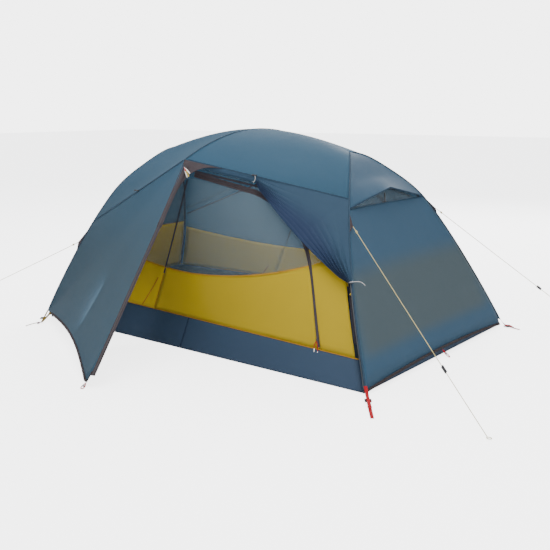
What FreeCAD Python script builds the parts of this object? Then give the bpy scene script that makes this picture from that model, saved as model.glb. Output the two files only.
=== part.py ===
import FreeCAD, Part
import math
import os

# Two-person dome tent, pitched. Millimetres, Z up, X along the sleeping length with the wide
# head end at +X, the open front door at -Y, and the origin on the ground under the ridge.
os.makedirs("parts", exist_ok=True)
V = FreeCAD.Vector

# ---- driving dimensions -------------------------------------------------------------------
LENGTH = 2200.0          # floor, corner to corner along X
HEAD_WIDTH = 1490.0      # floor width at the head end
FOOT_WIDTH = 1120.0      # floor width at the foot end
APEX_HEIGHT = 1062.0     # top of the flysheet over the middle
HUB_X = 555.0            # pole hubs, distance from the middle
HUB_HEIGHT = 956.0       # flysheet height over a hub
TIP_Y = 592.0            # front and back tips of the ridge pole
TIP_HEIGHT = 930.0
LEG_BOW = 45.0           # how far a bent leg pole stands off its straight plan line
LEG_FULLNESS = 0.93      # roundness of a leg's side view, 1 is a cosine
LEG_DIP = 22.0           # flatter stretch between the hub and the guy point
LEG_END = 0.98           # flysheet corners, as a fraction of the way down a leg
EAVE_HEAD = 0.42         # where the eave seam meets a head leg
EAVE_FOOT = 0.63         # where it meets a foot leg
FLY_T = 2.0              # flysheet solid
INNER_T = 2.0            # inner fabric and mesh solid
POLE_R = 4.75            # 9.5 mm aluminium pole
POLE_INSET = 13.0        # ridge pole axis inside the flysheet
LEG_INSET = 19.0         # leg pole axes inside the flysheet
CLIP_GAP = 5.0           # inner clips stop short of the poles' round sides
INNER_INSET = 48.0       # inner tent inside the flysheet
SEAM_GAP = 3.0           # cut line between neighbouring cloth panels
HINGE_GAP = 5.0          # flysheet each side of a door's fold line
TUB_HEAD = 122.0         # bathtub floor wall at the head end's corners
TUB_FOOT = 172.0         # and at the foot end's corners
TUB_INSET = 30.0         # tub bottom edge inside the ground plan
TUB_T = 3.0
VESTIBULE = 1325.0       # door peg, distance from the middle
ZIP_X = 100.0            # foot of the flysheet zip
PEG_X = 55.0
HEM_RISE = 34.0          # arched hem of the ends above the ground at mid span
DOOR_HEM_RISE = 55.0     # arch of the door hems, cut towards the ridge tip
HEM_HEIGHT = 14.0
TAPE_W = 24.0            # flysheet zip tape
TAPE_T = 1.6
YELLOW_HEIGHT = 350.0    # opaque lower wall, at its lowest
YELLOW_RISE = 150.0      # rise of its top edge per square metre of offset
BACK_YELLOW_HEIGHT = 322.0
BACK_YELLOW_RISE = 100.0
VENT_HINGE = 0.30        # along the leg: top of a vent hood
VENT_LIP = 0.47          # along the leg: ends of its lip
VENT_OUT = 41.0          # lip standing off the end wall
VENT_UP = 17.0
STRUT_R = 3.5
CORD_R = 1.5
GUY_HEAD = 0.52          # guy points along the head legs
GUY_FOOT = 0.71
PATCH = 60.0             # guy-out triangle
TENSIONER_L = 34.0
TENSIONER_AT = 0.72      # along a guy line
CORD_CLEAR = 0.4
WEB_W = 20.0             # corner webbing
WEB_T = 1.6


# ---- small tools --------------------------------------------------------------------------
def mix(a, b, k):
    return a + (b - a) * k


def save(name, *solids):
    for one in solids:
        if not one.isValid() or one.Volume <= 0:
            print("WARNING", name, "valid", one.isValid(), "volume", one.Volume)
    shape = solids[0] if len(solids) == 1 else Part.makeCompound(list(solids))
    shape.exportStep("parts/%s.step" % name)


def closed_solid(points, facets):
    shell = Part.Shape()
    shell.makeShapeFromMesh((points, facets), 0.001)
    solid = Part.Solid(Part.Shell(shell.Faces))
    return solid if solid.Volume > 0 else solid.reversed()


def grid_normals(rows, inside):
    """Unit normals of a grid of points, turned away from the point inside."""
    out = []
    for i, row in enumerate(rows):
        line = []
        for j, point in enumerate(row):
            along = rows[min(i + 1, len(rows) - 1)][j] - rows[max(i - 1, 0)][j]
            across = row[min(j + 1, len(row) - 1)] - row[max(j - 1, 0)]
            normal = along.cross(across)
            normal.normalize()
            line.append(normal if normal.dot(point - inside) > 0 else normal * -1.0)
        out.append(line)
    return out


def sheet(rows, thickness, inside=None, lift=0.0):
    """A thin closed panel: the grid is its outer face, its inner face lies one thickness inwards."""
    normals = grid_normals(rows, inside or V(0, 0, 300))
    outer = [[p + n * lift for p, n in zip(r, m)] for r, m in zip(rows, normals)]
    inner = [[p + n * (lift - thickness) for p, n in zip(r, m)] for r, m in zip(rows, normals)]
    count, width = len(rows), len(rows[0])
    points = [p for row in outer for p in row] + [p for row in inner for p in row]
    half = count * width
    facets = []
    for i in range(count - 1):
        for j in range(width - 1):
            a, b = i * width + j, i * width + j + 1
            c, d = a + width, b + width
            facets += [(a, b, d), (a, d, c), (half + a, half + d, half + b), (half + a, half + c, half + d)]
    rim = [(i * width, (i + 1) * width) for i in range(count - 1)]
    rim += [((count - 1) * width + j, (count - 1) * width + j + 1) for j in range(width - 1)]
    rim += [((i + 1) * width - 1, i * width - 1) for i in range(count - 1, 0, -1)]
    rim += [(j + 1, j) for j in range(width - 2, -1, -1)]
    for a, b in rim:
        facets += [(a, half + b, b), (a, half + a, half + b)]
    return closed_solid(points, facets)


def rod(a, b, radius):
    return Part.makeCylinder(radius, (b - a).Length, a, b - a)


def tube_run(points, radius, sides=16):
    """A bent pole: straight sections mitred at each bend, with flats round its section."""
    rings = []
    for i, point in enumerate(points):
        run = points[min(i + 1, len(points) - 1)] - points[max(i - 1, 0)]
        run.normalize()
        across = run.cross(V(0.31, 0.17, 0.93))
        across.normalize()
        over = run.cross(across)
        turns = [2 * math.pi * k / sides for k in range(sides)]
        rings.append([point + across * (radius * math.cos(t)) + over * (radius * math.sin(t)) for t in turns])
    corners = [p for ring in rings for p in ring] + [points[0], points[-1]]
    facets = []
    for i in range(len(points) - 1):
        for k in range(sides):
            a, b = i * sides + k, i * sides + (k + 1) % sides
            facets += [(a, b, b + sides), (a, b + sides, a + sides)]
    last = (len(points) - 1) * sides
    for k in range(sides):
        facets.append((len(corners) - 2, (k + 1) % sides, k))
        facets.append((len(corners) - 1, last + k, last + (k + 1) % sides))
    return closed_solid(corners, facets)


def box_at(centre, along, up, length, width, height):
    """A box centred on a point, with its length along one direction and its height along another."""
    x = V(along)
    x.normalize()
    y = V(up).cross(x)
    y.normalize()
    z = x.cross(y)
    box = Part.makeBox(length, width, height, V(-length / 2, -width / 2, -height / 2))
    matrix = FreeCAD.Matrix(x.x, y.x, z.x, centre.x, x.y, y.y, z.y, centre.y,
                            x.z, y.z, z.z, centre.z, 0, 0, 0, 1)
    return box.transformed(matrix)


# ---- the flysheet's shape -----------------------------------------------------------------
def corner(end, side, inset=0.0, z=0.0):
    half = (HEAD_WIDTH if end > 0 else FOOT_WIDTH) / 2
    return V(end * (LENGTH / 2 - inset), side * (half - inset), z)


def leg(end, side, s, inset=0.0):
    """A point on a leg seam, from the hub at s = 0 to the ground at s = 1."""
    hub = V(end * HUB_X, 0, 0)
    plan = corner(end, side, inset) - hub
    out = V(-end * abs(plan.y), side * abs(plan.x), 0)
    out.normalize()
    point = hub + plan * s + out * (LEG_BOW * math.sin(math.pi * s ** 1.5))
    point.z = (HUB_HEIGHT - inset) * max(math.cos(math.pi * s / 2), 0.0) ** LEG_FULLNESS
    if 0 < s < 0.5:
        point.z -= LEG_DIP * math.sin(2 * math.pi * s) ** 2
    return point


def leg_at_height(end, side, height, inset):
    low, high = 0.0, 1.0
    for _ in range(40):
        middle = (low + high) / 2
        if leg(end, side, middle, inset).z > height:
            low = middle
        else:
            high = middle
    return low


def eave_end(end):
    return EAVE_HEAD if end > 0 else EAVE_FOOT


def ridge(side, k, inset=0.0):
    """The ridge seam, from the apex at k = 0 to a tip at k = 1."""
    drop = APEX_HEIGHT - TIP_HEIGHT
    return V(0, side * k * (TIP_Y - inset), APEX_HEIGHT - inset - drop * k * k)


def spine(end, k, inset=0.0):
    drop = APEX_HEIGHT - HUB_HEIGHT
    return V(end * k * HUB_X, 0, APEX_HEIGHT - inset - drop * k * k)


def eave(end, side, k, inset=0.0):
    """The eave seam, from a ridge tip at k = 0 to a leg at k = 1."""
    return mix(ridge(side, 1, inset), leg(end, side, eave_end(end), inset), k)


def roof(end, side, a, b, inset=0.0):
    """A quarter of the roof: a runs from the ridge to a leg, b from the spine to the eave."""
    top, low = spine(end, a, inset), eave(end, side, a, inset)
    near, far = ridge(side, b, inset), leg(end, side, b * eave_end(end), inset)
    flat = mix(mix(spine(end, 0, inset), spine(end, 1, inset), a),
               mix(eave(end, side, 0, inset), eave(end, side, 1, inset), a), b)
    return mix(top, low, b) + mix(near, far, a) - flat


def roof_rows(inset=0.0, steps=8, edge=0.0):
    rows = []
    for i in range(-steps, steps + 1):
        b = abs(i) / steps * (1 - edge)
        side = -1 if i < 0 else 1
        rows.append([roof(1 if j > 0 else -1, side, abs(j) / steps * (1 - edge), b, inset)
                     for j in range(-steps, steps + 1)])
    return rows


def end_rows(end, s_values, inset=0.0, sag=0.0, trim=0.0, steps=6):
    """Chords between an end's two legs, hollowed a little in the middle."""
    rows = []
    for s in s_values:
        a, b = leg(end, -1, s, inset), leg(end, 1, s, inset)
        row = []
        for j in range(-steps, steps + 1):
            t = j / steps
            t_in = t * (1 - 2 * trim / (b - a).Length)
            row.append(mix(a, b, (1 + t_in) / 2) - V(end * sag * (1 - t * t), 0, 0))
        rows.append(row)
    return rows


def web(edge_a, edge_b, values, columns, from_a=0.0, from_b=0.0):
    """Rows of points drawn straight from one edge line to another, short of each by a gap."""
    rows = []
    for q in values:
        a, b = edge_a(q), edge_b(q)
        span = (b - a).Length
        rows.append([mix(a, b, (from_a + (span - from_a - from_b) * j / columns) / span)
                     for j in range(columns + 1)])
    return rows


def spread(low, high, count):
    return [low + (high - low) * i / count for i in range(count + 1)]


def along(points, q):
    """The point a fraction q along a chain of points."""
    lengths = [(b - a).Length for a, b in zip(points, points[1:])]
    left = q * sum(lengths)
    for a, b, one in zip(points, points[1:], lengths):
        if left <= one:
            return mix(a, b, left / one)
        left -= one
    return points[-1]


# ---- poles --------------------------------------------------------------------------------
RIDGE_DROP = POLE_INSET                                  # ridge pole axis under the roof
SPINE_DROP = POLE_INSET + 2 * POLE_R + 0.6               # the spine passes under it


def pole_points(kind, *where):
    if kind == "spine":
        return [spine(-1 if k < 0 else 1, abs(k), SPINE_DROP) for k in spread(-0.97, 0.97, 6)]
    if kind == "ridge":
        return [ridge(-1 if k < 0 else 1, abs(k), RIDGE_DROP) for k in spread(-0.975, 0.975, 6)]
    end, side = where
    return [leg(end, side, s, LEG_INSET) for s in spread(0.035, 0.985, 7)]


def make_poles():
    save("spine_pole", tube_run(pole_points("spine"), POLE_R))
    save("ridge_pole", tube_run(pole_points("ridge"), POLE_R))
    ferrules, tips, hubs = [], [], []
    for end, end_name in ((-1, "left"), (1, "right")):
        for side, side_name in ((-1, "front"), (1, "back")):
            points = pole_points("leg", end, side)
            points[-1].z = 16.0
            save("leg_pole_%s_%s" % (side_name, end_name), tube_run(points, POLE_R))
            for a, b in ((points[2], points[3]), (points[4], points[5])):
                middle, run = mix(a, b, 0.5), b - a
                run.normalize()
                sleeve = rod(middle - run * 28, middle + run * 28, POLE_R + 1.0)
                ferrules.append(sleeve.cut(rod(middle - run * 30, middle + run * 30, POLE_R)))
            foot = points[-1] - V(0, 0, 4)
            tips.append(Part.makeCone(POLE_R * 0.9, POLE_R * 0.6, 11.0, foot, V(0, 0, -1)))
        hub = V(end * HUB_X, 0, HUB_HEIGHT - SPINE_DROP)
        body = Part.makeCylinder(11.0, 16.0, hub - V(0, 0, 8))
        arms = [pole_points("spine")[0 if end < 0 else -1]]
        arms += [pole_points("leg", end, side)[0] for side in (-1, 1)]
        for target in arms:
            run = target - hub
            run.normalize()
            body = body.fuse(rod(hub, target - run * 3.0, POLE_R + 1.2))
        hubs.append(body)
    save("pole_ferrules", *ferrules)
    for side in (-1, 1):
        tip = pole_points("ridge")[0 if side < 0 else -1]
        tips.append(Part.makeCylinder(POLE_R + 1.2, 8.0, tip + V(0, side * 3.0, 0), V(0, side, 0)))
    save("pole_tips", *tips)
    save("pole_hubs", *hubs)
    cross = V(0, 0, APEX_HEIGHT - (RIDGE_DROP + SPINE_DROP) / 2)
    clip = Part.makeBox(20, 20, 27, cross - V(10, 10, 13.5))
    clip = clip.cut([rod(cross + V(-20, 0, -POLE_R - 0.3), cross + V(20, 0, -POLE_R - 0.3), POLE_R + 1.4),
                     rod(cross + V(0, -20, POLE_R + 0.3), cross + V(0, 20, POLE_R + 0.3), POLE_R + 1.4)])
    save("ridge_clip", clip)


# ---- inner tent ---------------------------------------------------------------------------
def tub_height(end):
    return TUB_HEAD if end > 0 else TUB_FOOT


def tub_top(end, side, inset=INNER_INSET):
    return leg(end, side, leg_at_height(end, side, tub_height(end), inset), inset)


def make_tub():
    def loft(grow, low, above):
        foot, rim = [], []
        for end, side in RING:
            a, b = corner(end, side, TUB_INSET + grow), tub_top(end, side, INNER_INSET + grow)
            foot.append(V(a.x, a.y, low))
            rim.append(V(b.x, b.y, tub_height(end) + above))
        return Part.makeLoft([Part.makePolygon(ring + [ring[0]]) for ring in (foot, rim)], True, True)
    save("tub_floor", loft(0, 0, 0).cut(loft(TUB_T, TUB_T, 1)))


RING = ((1, -1), (1, 1), (-1, 1), (-1, -1))
WALL_FOOT = 2.0                                          # inner wall above the tub's rim


def wall(side, u, v):
    """The front or back inner wall: u from the foot corner (-1) to the head corner (1), v upwards."""
    lift = V(0, 0, WALL_FOOT)

    def leg_edge(end, k):
        low = leg_at_height(end, side, tub_height(end), INNER_INSET)
        return leg(end, side, mix(low, eave_end(end), k), INNER_INSET) + lift * (1 - k)

    def top(x):
        return eave(1 if x > 0 else -1, side, abs(x), INNER_INSET)

    w = (u + 1) / 2
    bottom = mix(leg_edge(-1, 0), leg_edge(1, 0), w)
    left = leg_edge(-1, v) - mix(leg_edge(-1, 0), leg_edge(-1, 1), v)
    right = leg_edge(1, v) - mix(leg_edge(1, 0), leg_edge(1, 1), v)
    return mix(bottom, top(u), v) + left * (1 - w) + right * w


SLIDER_OUT = 9.0                                         # slider's middle in front of the inner wall
DOOR_TOP = 0.93                                          # door height as a fraction of the wall


def door_hinge(v):
    return -0.29 + 0.27 * v


def door_zip(v):
    return 0.79 * (1 - min(v / 0.97, 1.0) ** 4.2) ** 0.35


def yellow_at(side, u):
    """Fraction of the wall's height where the opaque lower part ends."""
    base, top = wall(side, u, 0), wall(side, u, 1)
    low, rise = (YELLOW_HEIGHT, YELLOW_RISE) if side < 0 else (BACK_YELLOW_HEIGHT, BACK_YELLOW_RISE)
    height = low + rise * ((base.x - 50) / 1000) ** 2
    return (height - base.z) / (top.z - base.z)


def wall_rows(side, left, right, low, high, rows=6, columns=6):
    """A patch of wall between two side lines and two level lines, all given as functions."""
    out = []
    for i in range(rows + 1):
        row = []
        for j in range(columns + 1):
            k = i / rows
            u = 0.5 * (left(k) + right(k))
            for _ in range(4):
                v = mix(low(u), high(u), k)
                u = mix(left(v), right(v), j / columns)
            row.append(wall(side, u, mix(low(u), high(u), k)))
        out.append(row)
    return out


def inner_slider_line(side):
    """Straight run of an inner zip's slider, just outside its tape, from the bottom upwards."""
    start, finish = wall(side, door_zip(0.05), 0.05), wall(side, door_zip(0.30), 0.30)
    return start + V(0, side * SLIDER_OUT, 0), finish + V(0, side * SLIDER_OUT, 0)


GAP_U = 0.006                                            # cloth cut line in wall widths
GAP_V = 0.008                                            # and in wall heights


def make_wall(side, name):
    def split(u):
        return yellow_at(side, u)

    def zip_low(v):
        return door_zip(min(v, DOOR_TOP))

    hinge_left = lambda v: door_hinge(v) - GAP_U
    hinge_right = lambda v: door_hinge(v) + GAP_U
    zip_left = lambda v: zip_low(v) - 2.0 * GAP_U
    zip_right = lambda v: zip_low(v) + 2.0 * GAP_U
    floor_line = lambda u: 0.0
    above = lambda u: split(u) + GAP_V
    door_line = lambda u: DOOR_TOP
    wall_top = lambda u: 0.985
    foot_edge = lambda v: -0.985
    head_edge = lambda v: 0.985
    save("inner_%s_lower" % name,
         sheet(wall_rows(side, foot_edge, hinge_left, floor_line, split), INNER_T),
         sheet(wall_rows(side, zip_right, head_edge, floor_line, split), INNER_T))
    save("inner_%s_mesh" % name,
         sheet(wall_rows(side, foot_edge, hinge_left, above, wall_top), INNER_T),
         sheet(wall_rows(side, zip_right, head_edge, above, wall_top, 10), INNER_T))
    save("inner_door_lower_%s" % name, sheet(wall_rows(side, hinge_right, zip_left, floor_line, split), INNER_T))
    save("inner_door_mesh_%s" % name,
         sheet(wall_rows(side, hinge_right, zip_left, above, door_line, 10), INNER_T))
    tape = []
    for v in spread(0.01, DOOR_TOP, 16):
        tape.append([wall(side, zip_low(v) + k * GAP_U, v) for k in (-1.0, 1.0)])
    save("inner_zip_%s" % name, sheet(tape, TAPE_T, lift=TAPE_T + 1.0))
    start, finish = inner_slider_line(side)
    out = V(0, side, 0)
    run = finish - start
    run.normalize()
    body = box_at(start, run, out, 14, 9, 4.5)
    pull = box_at(start - run * 26 + out * 1.0, run, out, 34, 4, 2)
    save("inner_slider_%s" % name, body, pull)
    print("inner slider", name, "run", [round(c, 4) for c in run], "travel", round((finish - start).Length, 1))


def make_inner():
    make_tub()
    make_wall(-1, "front")
    make_wall(1, "back")
    save("inner_roof_mesh", sheet(roof_rows(INNER_INSET, 8, 0.012), INNER_T))
    mesh, lower = [], []
    for end in (-1, 1):
        low = leg_at_height(end, 1, tub_height(end) + WALL_FOOT, INNER_INSET)
        split = leg_at_height(end, 1, YELLOW_HEIGHT + YELLOW_RISE * 0.8, INNER_INSET)
        mesh.append(sheet(end_rows(end, spread(0.06, split - 0.003, 8), INNER_INSET, 8, 14), INNER_T))
        lower.append(sheet(end_rows(end, spread(split + 0.003, low, 3), INNER_INSET, 8, 14), INNER_T))
    save("inner_end_mesh", *mesh)
    save("inner_end_lower", *lower)
    clips = []
    for end in (-1, 1):
        for side in (-1, 1):
            for s in (0.25, 0.5, 0.75):
                a = leg(end, side, s, LEG_INSET + POLE_R + CLIP_GAP)
                b = leg(end, side, s, INNER_INSET - 4.0)
                clips.append(rod(a, b, 4.0))
        a = spine(end, 0.5, SPINE_DROP + POLE_R + CLIP_GAP)
        b = spine(end, 0.5, INNER_INSET - 4.0)
        clips.append(rod(a, b, 4.0))
    save("inner_clips", *clips)


# ---- flysheet -----------------------------------------------------------------------------
def zip_line(side, k, shift=0.0):
    """The door's zip, from just under a ridge tip to the hem."""
    top = ridge(side, 1) + V(42, side * 26, -22)
    low = V(ZIP_X, side * (VESTIBULE - 12), HEM_HEIGHT + 38)
    return mix(top, low, k) + V(shift, 0, 0)


def peg_point(side):
    return V(PEG_X, side * VESTIBULE, HEM_HEIGHT)


def fold_line(end, side, q):
    """Where a door panel folds back: straight from the ridge tip to the ground corner."""
    return mix(ridge(side, 1), leg(end, side, LEG_END), q)


def rim_line(end, side, q):
    """The flysheet's sewn edge from the ridge tip, along the eave and down the leg."""
    seam = [eave(end, side, k) for k in spread(0, 1, 4)]
    seam += [leg(end, side, s) for s in spread(eave_end(end), LEG_END, 8)[1:]]
    return along(seam, q)


def door_edge(end, side, q, shift):
    """A door panel's free edge: down the zip, then along the hem to the ground corner."""
    chain = [ridge(side, 1) + V(shift, 0, 0)] + [zip_line(side, k, shift) for k in (0.02, 0.5, 1.0)]
    if end < 0:
        chain.append(peg_point(side))
    last, foot = leg(end, side, LEG_END), chain[-1]
    for k in (0.25, 0.5, 0.75, 1.0):
        point = mix(foot, last, k)
        rise = ridge(side, 1) - point
        rise.normalize()
        chain.append(point + rise * (DOOR_HEM_RISE * 4 * k * (1 - k)))
    return along(chain, q)


def side_panel(end, side):
    rows = web(lambda q: fold_line(end, side, q), lambda q: rim_line(end, side, q),
               spread(0.05, 0.96, 12), 3, HINGE_GAP, SEAM_GAP)
    return sheet(rows, FLY_T)


def door_flap(end, side, shift):
    rows = web(lambda q: fold_line(end, side, q), lambda q: door_edge(end, side, q, shift),
               spread(0.035, 0.975, 14), 6, HINGE_GAP, 0.0)
    return sheet(rows, FLY_T)


def zip_tape(side, low, high):
    rows = [[zip_line(side, k, low), zip_line(side, k, high)] for k in spread(0.0, 1.0, 6)]
    return sheet(rows, TAPE_T)


def zip_slider(side, name):
    start, finish = zip_line(side, 0.02), zip_line(side, 0.96)
    run = finish - start
    run.normalize()
    across = V(1, 0, 0)
    out = run.cross(across)
    out = out if out.y * side > 0 else out * -1.0
    middle = V(0, 0, 0) if side > 0 else V(-TAPE_W / 2, 0, 0)
    seat = start + middle + out * 5.0
    body = box_at(seat, run, out, 16, 11, 5)
    pull = box_at(seat + out * 4.5 + run * 30, run, out, 60, 6, 2.5)
    save(name, body, pull)
    print(name, "run", [round(c, 4) for c in run], "travel", round((finish - start).Length, 1))


GATHER_FROM = 0.44                                       # along the eave: the tie-back toggle
GATHER_TO = 0.72                                         # along the leg: the tie-back point


def gathered_door():
    """The right front door panel, tied back: cloth between the eave, the leg and its free edge."""
    seam = [eave(1, -1, k) for k in spread(GATHER_FROM, 1, 3)]
    seam += [leg(1, -1, s) for s in spread(EAVE_HEAD, GATHER_TO, 6)[1:]]
    start, finish = seam[0], leg(1, -1, GATHER_TO)
    free = [start + V(0, 0, -28)]
    for k in (0.25, 0.5, 0.75):
        free.append(mix(start, finish, k) + V(-18, -8, -30 * math.sin(math.pi * k) - 14))
    free.append(finish + V(-10, -4, -12))
    rows = web(lambda q: along(seam, q), lambda q: along(free, q), spread(0.02, 0.97, 10), 4, SEAM_GAP, 0)
    drape = sheet(rows, 8.0)
    roll = []
    for k in spread(0.06, GATHER_FROM - 0.02, 4):
        roll.append(eave(1, -1, k) + V(-2, 2, -19))
    return drape, tube_run(roll, 11.0)


def make_flysheet():
    save("fly_roof", sheet(roof_rows(0.0, 8, 0.004), FLY_T))
    upper = [sheet(end_rows(end, spread(0.03, VENT_HINGE - 0.012, 5), 0, 0, SEAM_GAP + 1), FLY_T)
             for end in (-1, 1)]
    save("fly_end_upper", *upper)
    mesh = []
    for end, name in ((-1, "left"), (1, "right")):
        rows = end_rows(end, spread(VENT_LIP + 0.006, 0.955, 8), 0, 12, SEAM_GAP + 1)
        a, b = leg(end, -1, LEG_END), leg(end, 1, LEG_END)
        hem = []
        for j in range(-6, 7):
            t = j / 6
            point = mix(a, b, (1 + t * (1 - 2 * (SEAM_GAP + 1) / (b - a).Length)) / 2)
            point.z = HEM_HEIGHT + HEM_RISE * (1 - t * t) * 0.8
            hem.append(point)
        save("fly_end_lower_%s" % name, sheet(rows + [hem], FLY_T))
        vent_hood(end, name)
        net = end_rows(end, spread(VENT_HINGE + 0.02, VENT_LIP - 0.008, 3), 10, 6, 26)
        mesh.append(sheet(net, 1.2))
    save("vent_mesh", *mesh)
    save("fly_front_left_panel", side_panel(-1, -1))
    save("fly_front_left_flap", door_flap(-1, -1, -TAPE_W - 1))
    save("front_zip_tape", zip_tape(-1, -TAPE_W, 0))
    zip_slider(-1, "front_zip_slider")
    save("fly_front_right_door", *gathered_door())
    save("fly_back_panels", side_panel(-1, 1), side_panel(1, 1))
    save("fly_back_left_flap", door_flap(-1, 1, -TAPE_W / 2 - 1))
    save("fly_back_right_flap", door_flap(1, 1, TAPE_W / 2 + 2))
    save("back_zip_tape", zip_tape(1, -TAPE_W / 2, TAPE_W / 2))
    zip_slider(1, "back_zip_slider")


def hood_lip(end, t, inset):
    """The lip of a vent hood: straight from each leg to a peak over the strut."""
    side = -1 if t < 0 else 1
    foot = leg(end, side, VENT_LIP)
    high = mix(leg(end, -1, VENT_HINGE + 0.10), leg(end, 1, VENT_HINGE + 0.10), 0.5)
    peak = high + V(end * VENT_OUT, 0, VENT_UP)
    return mix(peak, foot, abs(t) * (1 - inset / (foot - peak).Length))


def strut_ends(end):
    """A vent's prop, from the top of the end wall to just under the hood's lip."""
    wall_top = mix(leg(end, -1, VENT_LIP + 0.006), leg(end, 1, VENT_LIP + 0.006), 0.5)
    foot = wall_top + V(-end * 8, -end * 30, 8)
    return foot, hood_lip(end, 0, 0) + V(-end * 14, -end * 30, -26)


def vent_hood(end, name):
    rows = []
    for i in range(5):
        k = i / 4
        row = []
        for j in range(-6, 7):
            t = j / 6
            side = -1 if t < 0 else 1
            top = mix(leg(end, -1, VENT_HINGE), leg(end, 1, VENT_HINGE),
                      (1 + t * (1 - 2 * (SEAM_GAP + 5) / (2 * abs(leg(end, 1, VENT_HINGE).y)))) / 2)
            point = mix(top, hood_lip(end, t, SEAM_GAP + 6), k)
            chord = mix(leg(end, side, VENT_HINGE), leg(end, side, VENT_LIP), k)
            bulge = leg(end, side, mix(VENT_HINGE, VENT_LIP, k)) - chord
            row.append(point + bulge * abs(t))
        rows.append(row)
    save("vent_hood_%s" % name, sheet(rows, FLY_T))
    save("vent_strut_%s" % name, rod(*strut_ends(end), STRUT_R))


# ---- guy lines, corner webbing and small fittings -----------------------------------------
GUYS = (("front_right", 1, -1, V(1690, -902, 2.5)), ("back_right", 1, 1, V(1350, 1206, 2.5)),
        ("front_left", -1, -1, V(-1890, -557, 2.5)), ("back_left", -1, 1, V(-1380, 1190, 2.5)))


def guy_start(end, side):
    s = GUY_HEAD if end > 0 else GUY_FOOT
    return leg(end, side, s)


def guy_eye(end, side, peg):
    """The tip of a guy-out triangle and its outward direction on plan."""
    base = guy_start(end, side)
    flat = V(peg.x - base.x, peg.y - base.y, 0)
    flat.normalize()
    return base + flat * (PATCH * 0.55) - V(0, 0, PATCH * 0.30), flat


def guy_run(end, side, peg):
    """Ends of a guy line: clear of its triangle's tip, and on the ground at the peg."""
    eye, _ = guy_eye(end, side, peg)
    run = peg - eye
    run.normalize()
    return eye + run * 3.0, peg


def make_guys():
    patches = []
    for name, end, side, peg in GUYS:
        eye, flat = guy_eye(end, side, peg)
        s = GUY_HEAD if end > 0 else GUY_FOOT
        upper, lower = leg(end, side, s - 0.035) + flat * 3.0, leg(end, side, s + 0.04) + flat * 3.0
        normal = (upper - lower).cross(eye - lower)
        normal.normalize()
        triangle = Part.Face(Part.makePolygon([upper, lower, eye, upper]))
        patches.append(triangle.extrude(normal * 1.6))
        start, _ = guy_run(end, side, peg)
        run = peg - start
        run.normalize()
        save("guy_line_%s" % name, rod(start, peg, CORD_R))
        length = (peg - start).Length
        seat = mix(start, peg, TENSIONER_AT)
        up = V(0, 0, 1) - run * run.z
        body = box_at(seat, run, up, TENSIONER_L, 4.5, 13.0)
        bore = rod(seat - run * TENSIONER_L, seat + run * TENSIONER_L, CORD_R + CORD_CLEAR)
        save("guy_tensioner_%s" % name, body.cut(bore))
        print("guy", name, "start", [round(c, 2) for c in start], "length", round(length, 1),
              "run", [round(c, 5) for c in run])
    save("guy_patches", *patches)


STRAPS = ((1, -1, V(150, -220, 0)), (1, 1, V(105, -30, 0)), (-1, -1, V(96, -150, 0)), (-1, 1, V(-150, 220, 0)))


def make_fittings():
    webs, buckles = [], []
    for end, side, reach in STRAPS:
        run = V(reach)
        run.normalize()
        start = corner(end, side) + run * 6.0
        finish = corner(end, side) + reach
        middle = mix(start, finish, 0.5) + V(0, 0, WEB_T / 2)
        webs.append(box_at(middle, run, V(0, 0, 1), (finish - start).Length, WEB_W, WEB_T))
        seat = mix(start, finish, 0.22) + V(0, 0, WEB_T + 3.4)
        frame = box_at(seat, run, V(0, 0, 1), 30, WEB_W + 8, 5)
        slots = [box_at(seat + run * k, run, V(0, 0, 1), 5, WEB_W + 1, 9) for k in (-9, 0, 9)]
        buckles.append(frame.cut(slots))
    save("corner_straps", *webs)
    save("corner_buckles", *buckles)
    loops = []
    for side in (-1, 1):
        centre = peg_point(side) + V(8, side * 26, 0)
        centre.z = 2.5
        loops.append(Part.makeTorus(16, 2.0, centre))
    for end in (-1, 1):
        centre = V(end * (LENGTH / 2 + 22), 0, 2.5)
        loops.append(Part.makeTorus(16, 2.0, centre))
    save("peg_loops", *loops)
    toggles = []
    for end, side, k in ((1, -1, GATHER_FROM), (-1, -1, 0.48), (1, 1, GATHER_FROM), (-1, 1, 0.48)):
        seat = eave(end, side, k) + V(0, side * 9, 6)
        toggles.append(rod(seat - V(14, 0, 0), seat + V(14, 0, 0), 3.2))
    save("door_toggles", *toggles)


make_poles()
make_inner()
make_flysheet()
make_guys()
make_fittings()
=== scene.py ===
import functools
import math

import bpy
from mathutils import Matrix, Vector, noise


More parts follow.
